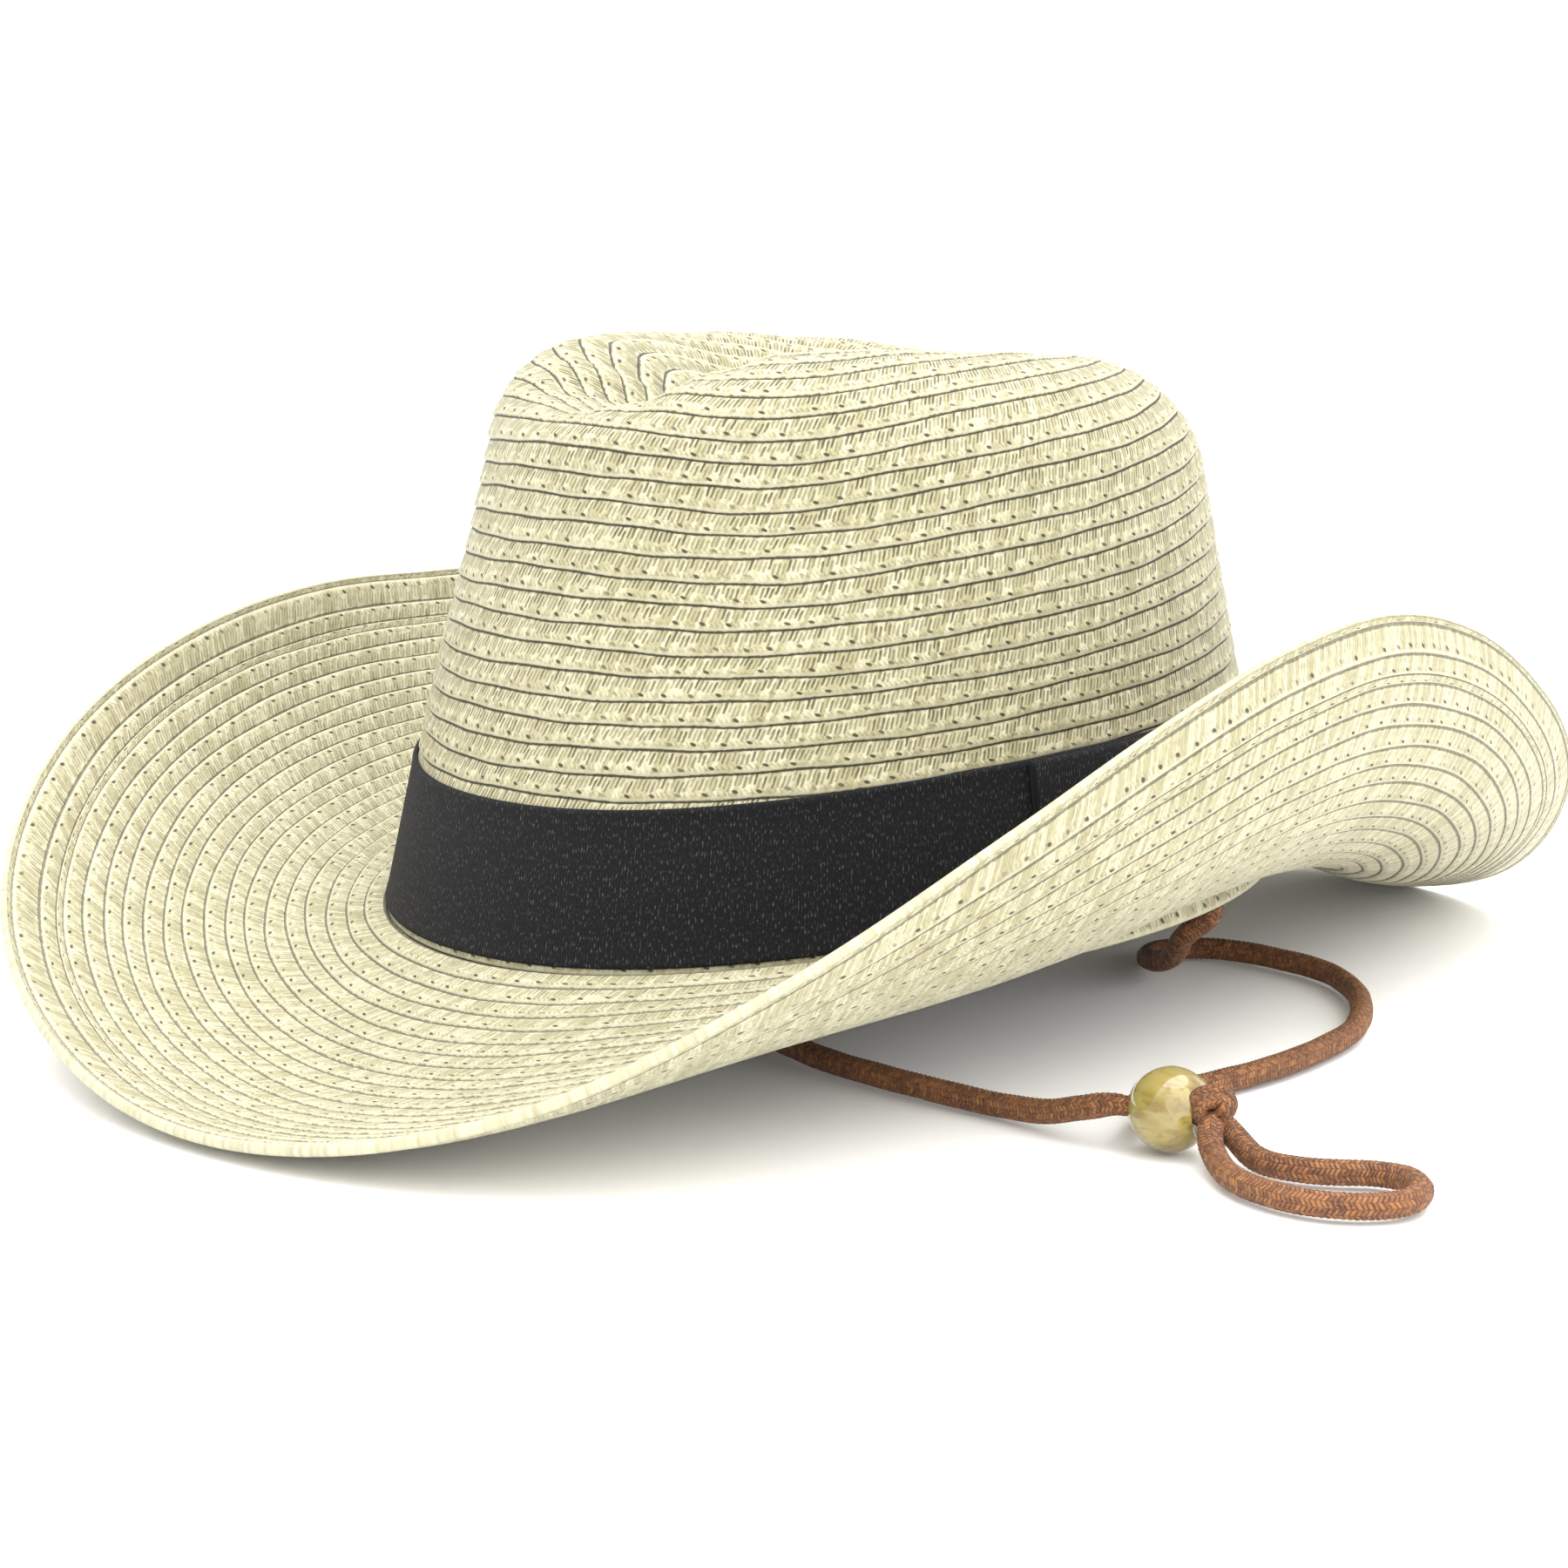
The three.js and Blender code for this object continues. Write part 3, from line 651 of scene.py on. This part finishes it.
def crown_top(angle):
    """The crown above its wall rows in fine steps: rest of the wall, quarter-round shoulder, crease.

    In the crease, height falls from the ridge to the floor by a smooth step of the share of the way out,
    and the outline grows rounder on the way in.
    """
    ridge, inset = ridge_values(angle)
    rise = 0.9 * inset * CROWN_HALF_WIDTH
    shoulder = ridge - rise
    start = row_height(angle, WALL_ROWS)
    share = np.linspace(0, 1, SHOULDER_STEPS)[:, None]
    wall = wall_point(angle, start + (shoulder - start) * share)
    bend = share * math.pi / 2
    turned = wall_point(angle, shoulder + rise * np.sin(bend))
    turned[..., :2] *= (1 - inset * (1 - np.cos(bend)))[..., None]
    crest = turned[-1]
    inward = np.linspace(1, 0, CREASE_STEPS)[:, None]
    climb = smooth_step((inward - CREASE_FLAT) / (1 - CREASE_FLAT))
    height = CREASE_FLOOR + (ridge - CREASE_FLOOR) * climb
    rounded = eased_round(crest[:, :2], 0)
    plan = crest[:, :2] + (rounded - crest[:, :2]) * (1 - inward[..., None])
    plan = plan * inward[..., None]
    crease = np.concatenate([plan, height[..., None]], axis=-1)
    return np.concatenate([wall, turned[1:], crease[1:]])


def crown_rings(rows):
    """Points of the crown's outside at each row number.

    Wall rows go by height. Above them a row's number grows with the length along the section, one for each
    pitch, and past the crest a little faster or slower so that every section ends at the same number. On
    the way into the crease the numbers are evened out round the hat.
    """
    angle = column_angles(CROWN_COLUMNS)
    rows = rows[:, None] + drift(rows, CROWN_COLUMNS)
    top = crown_top(angle)
    reach = length_to(top)
    total = reach[-1]
    gain = 1 / TOP_PITCH + SAG_STEP / TOP_PITCH**2 * beside_front(angle)
    past = total - CREST_REACH
    ease = (POLE_ROW - WALL_ROWS - CREST_REACH * gain - past / TOP_PITCH) / past**2
    after = np.maximum(0, reach - CREST_REACH)
    number = WALL_ROWS + np.minimum(reach, CREST_REACH) * gain + after / TOP_PITCH + ease * after**2
    into_crease = smooth_step((np.arange(len(top)) - SOFTEN_FROM) / SOFTEN_STEPS)[:, None]
    number = number + (eased_round(number, 1) - number) * into_crease
    spacing = 1000.0 * np.arange(CROWN_COLUMNS)
    known = (number + spacing).T.ravel()
    wanted = (rows + spacing).T.ravel()
    upper = np.stack([np.interp(wanted, known, top[..., k].T.ravel()) for k in range(3)], axis=-1)
    upper = upper.reshape(CROWN_COLUMNS, len(rows), 3).transpose(1, 0, 2)
    first = row_height(angle, 0.0)
    low_edge = edge_plane(wall_point(angle, -2.0)[..., 1])
    below = np.clip(rows + 1, 0, 1)
    height = np.where(rows < 0, low_edge + (first - low_edge) * below, row_height(angle, rows))
    lower = wall_point(angle, height)
    rings = np.where((rows < WALL_ROWS)[..., None], lower, upper)
    rise = smooth_step((rings[..., 2] - DENT_FROM) / DENT_RISE)
    fall = smooth_step((CROWN_HEIGHT - rings[..., 2]) / DENT_FALL)
    dent = DENT_DEPTH * beside_front(angle) * rise * fall
    return rings - outward(angle, rings[..., 2]) * dent[..., None]


def drift(rows, columns):
    """How far sewn rows wander up and down, in rows: sines of the turn, joined evenly from row to row.

    There is none up to row 1 and from DRIFT_END on.
    """
    turn = once_round(columns)
    whole = np.floor(rows)[:, None]
    share = rows[:, None] - whole
    low, high = (0.045 * np.sin(4 * turn + 2.1 * k) + 0.03 * np.sin(11 * turn - 1.3 * k)
                 + 0.02 * np.sin(26 * turn + 3.7 * k) for k in (whole, whole + 1))
    settled = np.clip(rows[:, None] - 1, 0, 1) * np.clip((DRIFT_END - rows[:, None]) / DRIFT_FADE, 0, 1)
    return (low * (1 - share) + high * share) * settled


def waviness(rows, columns):
    """Slow unevenness of sewn rows: a few sines of the turn and the row number."""
    turn = once_round(columns)
    row = rows[:, None]
    wave = np.sin(3 * turn + 1.7 * row) + 0.7 * np.sin(7 * turn - 2.3 * row)
    return WAVE_HEIGHT * (wave + 0.5 * np.sin(13 * turn + 4.1 * row))


def make_crown(straw):
    """Outside and inside of the crown, each row of braid lapping over the next one down."""
    numbers = np.arange(-1, POLE_ROW)
    outer_rows = (numbers[:, None] + ROW_SHARES).ravel()[:-1]
    inner_rows = (numbers[:, None] + INNER_SHARES).ravel()[:-1]
    outer_lift = np.tile(ROW_HEIGHTS, len(numbers))[:-1, None]
    outer_lift = outer_lift + waviness(np.floor(outer_rows), CROWN_COLUMNS)
    inner_lift = np.tile(INNER_HEIGHTS, len(numbers))[:-1, None]
    outside = crown_rings(outer_rows)
    outside = outside + ring_normals(outside) * outer_lift[..., None]
    inside = crown_rings(inner_rows)
    inside = inside - ring_normals(inside) * (STRAW + inner_lift[..., None])
    for side in (inside, outside):
        side[0, :, 2] = edge_plane(side[0, :, 1])
    rings = np.concatenate([inside[::-1], outside])

    # strips of faces: down the inside, across the lower edge, up the outside
    inner_down = inner_rows[::-1]
    inner_strips = np.floor(inner_down[1:])
    outer_strips = np.floor(outer_rows[:-1])
    pick = first_place(np.concatenate([-100 - inner_strips, [-50], outer_strips]))
    ring_rows = np.floor(np.concatenate([inner_down, outer_rows]))
    u = lengths_round(rings)[pick] + (ring_rows * ROW_SHIFT % 1.0)[pick][:, None]
    share_low = np.concatenate([1 - inner_down[:-1] % 1.0, [0.5], outer_rows[:-1] % 1.0])
    share_low = np.where(share_low >= 1, 0.0, share_low)
    inner_high = np.minimum(1 - inner_down[1:] % 1.0, ROW_END)
    outer_high = outer_rows[1:] % 1.0
    outer_high = np.where(outer_high == 0, ROW_END, outer_high)
    share_high = np.concatenate([inner_high, [0.6], outer_high])
    whole = np.concatenate([inner_strips, [0.0], outer_strips]) + 2
    mesh = ring_mesh("crown", rings, u, whole + share_low, whole + share_high)
    add_piece("crown_straw", mesh, straw, "crown")


# Brim

def round_value(column, angle):
    """Smooth value of a column of the brim table: a cubic through its rows, closed round the hat."""
    count = len(BRIM)
    place = (angle % 360) / (360 / count)
    k = np.floor(place).astype(int)
    t = place - k
    a, b, c, d = (BRIM[(k + n) % count, column] for n in (-1, 0, 1, 2))
    return 0.5 * (2 * b + (c - a) * t + (2 * a - 5 * b + 4 * c - d) * t**2 + (3 * b - a - 3 * c + d) * t**3)


def join_level(angle):
    """Height of the brim's joint: it leans to the front and dips there and at the back."""
    turn = np.radians(angle)
    return JOIN_HEIGHT - JOIN_TILT * np.cos(turn) - JOIN_BOW * np.cos(2 * turn)


def outward(angle, level):
    """Flat direction that points straight out of the crown's wall."""
    step = wall_point(angle + 0.5, level) - wall_point(angle - 0.5, level)
    return unit(np.stack([step[..., 1], -step[..., 0], 0 * step[..., 0]], axis=-1))


def brim_rings(widths):
    """Middle surface of the brim: in each section an arc from the root slope to the edge slope."""
    angle = column_angles(BRIM_COLUMNS)
    root = np.radians(round_value(1, angle))
    edge = np.radians(round_value(2, angle))
    level = join_level(angle)
    out = outward(angle, level)
    gap = CLEARANCE + STRAW / 2 * (np.abs(np.sin(root)) + SIDE_TAPER)
    start = wall_point(angle, level) + out * gap[:, None]
    free = np.clip(widths / BRIM_STILL, 0, 1) * np.clip((BRIM_EDGE_STILL - widths) / BRIM_SETTLE, 0, 1)
    wander = BRIM_PITCH * free[:, None] * drift(widths / BRIM_PITCH + 1, BRIM_COLUMNS)
    share = (widths[:, None] + wander) / BRIM_WIDTH
    half = (edge - root) * share / 2
    chord = BRIM_WIDTH * share * np.sinc(half / math.pi)
    rings = start + out * (chord * np.cos(root + half))[..., None]
    rings[..., 2] += chord * np.sin(root + half)
    return rings


def make_brim(straw):
    """Top and underside of the brim in rows of braid, joined by a rounded edge."""
    low = BRIM_ROWS[:-1, None]
    width = np.diff(BRIM_ROWS)[:, None]
    deep = np.minimum(1.0, width / 4.0)
    row_rings = len(ROW_SHARES)
    row_of_ring = np.repeat(np.arange(len(low)), row_rings)
    top = brim_rings((low + width * TOP_PLACES).ravel())
    under = brim_rings((low + width * UNDER_PLACES).ravel())
    top_normal = ring_normals(top)
    up = np.sign(top_normal[0, 0, 2])
    top_lift = STRAW / 2 + (deep * TOP_HEIGHTS).ravel()[:, None] + waviness(row_of_ring, BRIM_COLUMNS)
    under_lift = STRAW / 2 + (0.5 * deep * ROW_HEIGHTS).ravel()[:, None]
    top = top + up * top_normal * top_lift[..., None]
    under = under - up * ring_normals(under) * under_lift[..., None]
    rim = brim_rings(BRIM_WIDTH + np.array([0.0, 0.6, 0.6, 0.0]))
    rim_normal = up * ring_normals(brim_rings(np.array([80.0, 81.0, 82.0, 83.0])))
    rim = rim + rim_normal * np.array([1.15, 0.55, -0.55, -1.15])[:, None, None]
    rings = np.concatenate([top, rim, under[::-1]])

    # strips of faces: out along the top, round the rim, in along the underside
    rows = np.concatenate([row_of_ring, np.full(len(rim), RIM_ROW), UNDER_ROW + row_of_ring[::-1]])
    share_low = np.concatenate([
        np.tile(TOP_SHARES, len(low)), np.full(len(rim), 0.12), np.tile(ROW_SHARES, len(low))[::-1]])
    share_high = np.roll(share_low, -1)
    strip_rows = rows.copy()
    top_end = len(row_of_ring)
    under_start = top_end + len(rim)
    last_in_row = np.arange(top_end) % row_rings == row_rings - 1
    share_high[:top_end][last_in_row] = 0.0
    share_low[under_start:][last_in_row] = ROW_END
    strip_rows[under_start:] = np.where(last_in_row, np.roll(rows, -1)[under_start:], rows[under_start:])
    share_high[-1] = 0.0
    strip_rows[-1] = UNDER_ROW
    u = lengths_round(rings)[first_place(strip_rows)] + (strip_rows * ROW_SHIFT % 1.0)[:, None]
    mesh = ring_mesh("brim", rings, u, strip_rows + share_low, strip_rows + share_high, closed=True)
    add_piece("brim_straw", mesh, straw, "brim")


# Ribbon

def band_low(angle):
    """Height of the band's lower edge, just clear of the brim."""
    root = np.radians(round_value(1, angle))
    lift = STRAW / 2 / np.cos(root) + np.maximum(0, np.tan(root)) * (CLEARANCE + BAND_THICKNESS)
    return join_level(angle) + lift + 2 * CLEARANCE


def make_band(ribbon):
    """A ribbon round the crown: an upright strip off the wall, thicker along its two woven edges."""
    angle = column_angles(BAND_COLUMNS)
    outer_share = [0.0, 0.0, 0.01, 0.03, 0.05, 0.2, 0.35, 0.5, 0.65, 0.8, 0.95, 0.97, 0.99, 1.0, 1.0]
    outer_off = [0.5, 1.0, 1.35, 1.4, 1.25, 1.2, 1.2, 1.2, 1.2, 1.2, 1.25, 1.4, 1.35, 1.0, 0.5]
    share = np.array(outer_share + [0.97, 0.5, 0.03])
    off = np.array(outer_off + 3 * [CLEARANCE])
    height = band_low(angle) + BAND_HEIGHT * share[:, None]
    rings = wall_point(angle, height) + outward(angle, height) * off[:, None, None]
    middle = outer_share.index(0.5)
    u = np.tile(lengths_round(rings[middle:middle + 1])[0], (len(share), 1))
    v = share * BAND_HEIGHT * MM
    mesh = ring_mesh("hat_band", rings, u, v, np.roll(v, -1), closed=True)
    add_piece("hat_band_ribbon", mesh, ribbon, "hat_band")


def make_band_join(ribbon):
    """The ribbon's lapped end: a short strip on the band, its section carried round the crown."""
    sweep = math.degrees(JOIN_LENGTH / MEAN_RADIUS)
    angle = JOIN_START + np.linspace(0, 1, 30) * sweep
    share = np.array([0.0, 0.01, 0.03, 0.2, 0.4, 0.6, 0.8, 0.97, 0.99, 1.0, 1.0, 0.8, 0.5, 0.2, 0.0])
    off = np.array([1.9, 2.5, 2.7, 2.62, 2.6, 2.6, 2.62, 2.7, 2.5, 1.9, 1.6, 1.6, 1.6, 1.6, 1.6])
    low = band_low(angle) + CLEARANCE
    height = low[:, None] + (BAND_HEIGHT - 2 * CLEARANCE) * share[None, :]
    turned = angle[:, None] + 0 * height
    lift = off + 0.35 * np.exp(-((angle[:, None] - JOIN_START) / 0.6) ** 2)
    rings = wall_point(turned, height) + outward(turned, height) * lift[..., None]
    strips = len(angle) - 1
    u = np.tile(np.append(share, share[0]) * BAND_HEIGHT * MM, (strips, 1))
    v = (angle - JOIN_START) * math.radians(1) * MEAN_RADIUS * MM
    mesh = ring_mesh("band_join", rings, u, v[:-1], v[1:])
    add_piece("band_join_ribbon", mesh, ribbon, "band_join")


# Cord

def from_surface(points):
    """The points with their heights counted from the crown's base centre, not from the surface."""
    return np.array(points, float) + [0, 0, SURFACE]


def smooth_route(points):
    """A smooth curve through the points, its knots spaced by the square root of their distance apart."""
    points = np.array(points, float)
    before = 2 * points[0] - points[1]
    after = 2 * points[-1] - points[-2]
    full = np.concatenate([[before], points, [after]])
    share = np.linspace(0, 1, 40, endpoint=False)[None, :, None]
    a, b, c, d = full[:-3, None], full[1:-2, None], full[2:-1, None], full[3:, None]
    first, second, third = (
        np.maximum(np.sqrt(np.linalg.norm(q - p, axis=-1, keepdims=True)), 1e-4)
        for p, q in ((a, b), (b, c), (c, d))
    )
    start = ((b - a) / first - (c - a) / (first + second) + (c - b) / second) * second
    end = ((c - b) / second - (d - b) / (second + third) + (d - c) / third) * second
    cubic = (2 * b - 2 * c + start + end) * share**3 + (3 * c - 3 * b - 2 * start - end) * share**2
    dense = (cubic + start * share + b).reshape(-1, 3)
    dense = np.concatenate([dense, points[-1:]])
    reach = length_to(dense)
    count = int(round(reach[-1] / ROUTE_STEP))
    even = np.linspace(0, reach[-1], count + 1)
    return np.stack([np.interp(even, reach, dense[:, k]) for k in range(3)], axis=-1), reach[-1]


def braid_relief(along, turn):
    """Height of the braid: slanting ridges that change direction in each of eight columns round the cord."""
    column = turn / (2 * math.pi) * 8
    zigzag = np.abs((column % 2) - 1)
    ridge = np.cos(2 * math.pi * (along / 1.2 + 0.8 * (1 - zigzag)))
    slow = np.sin(along / 3.1 + 2 * turn) + np.sin(along / 1.9 - 3 * turn)
    return 0.07 * ridge + 0.06 * np.abs(np.sin(math.pi * column)) + 0.025 * slow - 0.08


def tube_rings(path, reference, squeeze):
    """A cord's surface: at each point of the path a ring square to it, with the braid's relief.

    The reference gives the ring its first side, and squeeze is the cord's thickness there as a share.
    """
    tangent = unit(np.gradient(path, axis=0))
    side = unit(reference - (reference * tangent).sum(axis=-1, keepdims=True) * tangent)
    other = np.cross(tangent, side)
    reach = length_to(path)
    turn = once_round(CORD_SIDES)
    radius = (CORD / 2 + braid_relief(reach[:, None], turn[None, :])) * squeeze[:, None]
    across = np.cos(turn)[None, :, None] * side[:, None] + np.sin(turn)[None, :, None] * other[:, None]
    return path[:, None] + across * radius[..., None], reach


def cord_mesh(name, rings, reach):
    """Mesh of a cord, its pattern's length along it and share round it."""
    columns = rings.shape[1]
    share = np.arange(columns + 1) / columns
    u = np.tile(share, (len(rings) - 1, 1))
    mesh = ring_mesh(name, rings, u, reach[:-1] * MM, reach[1:] * MM)
    layer = mesh.uv_layers["braid"].data
    flat = np.zeros(len(layer) * 2, np.float32)
    layer.foreach_get("uv", flat)
    layer.foreach_set("uv", flat.reshape(-1, 2)[:, ::-1].ravel())
    return mesh


def heading_side(path):
    """Level direction square to the way the path heads; a steep start takes the heading that follows it."""
    tangent = np.gradient(path, axis=0)
    level = tangent[:, :2]
    size = np.linalg.norm(level, axis=-1) / np.linalg.norm(tangent, axis=-1)
    first = np.argmax(size > LEVEL_SHARE)
    level = np.where((np.arange(len(path)) < first)[:, None], level[first], level)
    return unit(np.stack([-level[:, 1], level[:, 0], 0 * level[:, 0]], axis=-1))


def beside(centre, along, across):
    """A point moved along the bead's bore and sideways from it."""
    return centre + BEAD_AXIS * along + BEAD_ACROSS * across


def anchor_frame(side):
    """Centre, outward direction and underside of the cord's sewn end inside the crown."""
    angle = np.array(side * ANCHOR_ANGLE)
    wall = wall_point(angle, np.array(0.0))
    out = outward(angle, np.array(0.0))
    bottom = edge_plane(wall[1]) + 1.2
    bulge = ANCHOR_WIDTH**2 / (8 * CROWN_HALF_WIDTH)
    inward = STRAW + CLEARANCE + bulge + SIDE_TAPER * (ANCHOR_HEIGHT + bottom) + ANCHOR_DEPTH / 2
    centre = wall - out * inward
    centre[2] = bottom + ANCHOR_HEIGHT / 2
    return centre, out, bottom


BEAD_CENTRE = np.array([BEAD_PLACE[0], BEAD_PLACE[1], SURFACE + BEAD_RADIUS])
KNOT_CENTRE = beside(BEAD_CENTRE, BEAD_HALF_LENGTH + CLEARANCE + KNOT_HALF_LENGTH, 0.0)


def strand_route(side, points, across):
    """The strand's points: down from its sewn end, over the surface, and into the bead."""
    centre, _, bottom = anchor_frame(side)
    top = np.array([centre[0], centre[1], bottom - CLEARANCE])
    below = top - [0, 0, 1.2 * CORD]
    end = beside(BEAD_CENTRE, -BEAD_HALF_LENGTH - CLEARANCE, across)
    inside = beside(BEAD_CENTRE, -BEAD_HALF_LENGTH + 1.4, across * 0.8)
    before = beside(end, -1.0 if side > 0 else -0.65 * CORD, 0.0)
    return [top, below, *from_surface(points), before, end, inside]


def lay_cord(name, node, route, narrowing, material):
    """A cord laid along its route, one whole with the joined pieces.

    It loses the narrowing, a share of its thickness, evenly over its last millimetres.
    """
    path, length = smooth_route(route)
    from_end = np.linspace(length, 0, len(path))
    squeeze = 1 - narrowing * np.clip(1 - from_end / NARROWING_LENGTH, 0, 1)
    rings, reach = tube_rings(path, heading_side(path), squeeze)
    piece = add_piece(name, cord_mesh(node, rings, reach), material, node)
    path = (path + CROWN_PLACE) * MM


def make_knot(material):
    """The knot: a cord wound a little over twice in a coil that narrows away from the bead."""
    facing = unit(beside(np.zeros(3), 0.62, 0.75) - [0, 0, 0.22])
    sidewards = unit(np.cross([0, 0, 1.0], facing))
    upright = np.cross(facing, sidewards)
    centre = beside(KNOT_CENTRE, -1.5, 1.6) + [0, 0, 1.5]
    turns = np.linspace(0, 1, 260)
    turn = -0.3 * math.pi + turns * 2 * math.pi * KNOT_TURNS
    forward = -2.2 + 3.8 * turns
    wide = 4.1 - 2.5 * turns
    tall = 3.2 - 1.9 * turns
    path = (centre + facing * forward[:, None] + sidewards * (wide * np.cos(turn))[:, None]
            + upright * (tall * np.sin(turn))[:, None])
    rings, reach = tube_rings(path, np.tile(facing, (len(path), 1)), np.full(len(path), KNOT_SQUEEZE))
    return add_piece("cord_knot_wrap", cord_mesh("cord_knot", rings, reach), material, "cord_knot")


def make_bead(material):
    """A turned bead: a ball with a rounded lip round a sunk bore at each end."""
    bend = np.linspace(-0.93, 0.93, 60)
    ball = np.stack([BEAD_RADIUS * np.sin(bend), BEAD_RADIUS * np.cos(bend)], axis=-1)
    lip = np.array([(-4.9, 0.4), (-4.9, 3.7), (-5.6, 3.95), (-6.3, 4.1), (-6.6, 4.35), (-6.6, 4.6)])
    profile = np.concatenate([lip, ball, (lip * [-1, 1])[::-1]])
    turn = once_round(BEAD_SIDES)
    radial = np.cos(turn)[:, None] * BEAD_ACROSS + np.sin(turn)[:, None] * np.array([0, 0, 1.0])
    rings = BEAD_CENTRE + BEAD_AXIS * profile[:, None, :1] + radial[None] * profile[:, None, 1:]
    return add_piece("cord_bead_turned", ring_mesh("cord_bead", rings), material, "cord_bead")


def make_anchor(name, side, material, node):
    """A sewn end of the cord: a block with rounded edges, by powers of the cosine and sine."""
    centre, out, _ = anchor_frame(side)
    across = np.array([-out[1], out[0], 0.0])
    lift = np.linspace(-math.pi / 2 * 0.97, math.pi / 2 * 0.97, 25)[:, None]
    turn = once_round(ANCHOR_SIDES)[None, :]

    def soft(value):
        return np.sign(value) * np.abs(value) ** 0.45

    x = ANCHOR_DEPTH / 2 * soft(np.cos(lift)) * soft(np.cos(turn))
    y = ANCHOR_WIDTH / 2 * soft(np.cos(lift)) * soft(np.sin(turn))
    z = ANCHOR_HEIGHT / 2 * soft(np.sin(lift)) + 0 * turn
    rings = centre + x[..., None] * out + y[..., None] * across + z[..., None] * np.array([0, 0, 1.0])
    rows = np.arange(len(lift)) * 0.0006
    u = np.tile(rows[:-1, None], (1, rings.shape[1] + 1))
    mesh = ring_mesh(node, rings, u, rows[:-1] * 60, rows[1:] * 60)
    add_piece(name, mesh, material, node)


def make_cords(cord, wood):
    """Both strands, the loop, the knot and the bead."""
    bead = make_bead(wood)
    knot = make_knot(cord)
    offset = CORD / 2 + CLEARANCE / 2
    right = strand_route(-1, RIGHT_STRAND, offset)
    left = strand_route(1, LEFT_STRAND, -offset)
    lay_cord("chin_cord_right_braid", "chin_cord_right", right, STRAND_NARROWING, cord)
    lay_cord("chin_cord_left_braid", "chin_cord_left", left, STRAND_NARROWING, cord)
    lay_cord("chin_cord_loop_braid", "chin_cord_loop", from_surface(LOOP), 0.0, cord)


# Floor and light

def make_floor():
    """A wide flat floor, just below the lowest braid of the brim."""
    mesh = bpy.data.meshes.new("floor")
    half = 12.0
    corners = [(-half, -half, 0), (half, -half, 0), (half, half, 0), (-half, half, 0)]
    mesh.from_pydata(corners, [], [(0, 1, 2, 3)])
    floor = new_object("floor", mesh)
    floor.location.z = -0.0006
    mesh.materials.append(floor_material())


def add_sun(name, direction, energy, spread):
    """A broad soft light that comes from a direction; spread is its width in degrees."""
    sun = bpy.data.lights.new(name, "SUN")
    sun.energy = energy
    sun.angle = math.radians(spread)
    light = new_object(name, sun)
    light.rotation_euler = Vector(direction).to_track_quat("Z", "Y").to_euler()


def make_light():
    """White surroundings, soft lights from high left of the camera and from above, a broad one low right."""
    world = bpy.data.worlds.new("studio")
    bpy.context.scene.world = world
    world.use_nodes = True
    background = world.node_tree.nodes["Background"]
    background.inputs["Color"].default_value = (1, 1, 1, 1)
    background.inputs["Strength"].default_value = 1.4
    add_sun("soft_key", (-0.6, -0.75, 1.3), 0.8, 50)
    add_sun("top_light", (-0.1, 0.2, 1.0), 2.9, 60)
    add_sun("low_fill", (0.90, -0.20, 0.52), 2.9, 90)
    bpy.context.scene.view_settings.view_transform = "Standard"


# The whole scene
make_camera()
cord_finish = cord_material()
make_cords(cord_finish, wood_material())
make_anchor("cord_anchor_left_sewn", 1, cord_finish, "cord_anchor_left")
make_anchor("cord_anchor_right_sewn", -1, cord_finish, "cord_anchor_right")
make_crown(straw_material("braided crown straw", 1.0, 0.95))
make_brim(straw_material("braided brim straw", 0.6, 0.7))
make_band(ribbon_material("ribbed ribbon", False))
make_band_join(ribbon_material("ribbed ribbon end", True))
make_floor()
make_light()
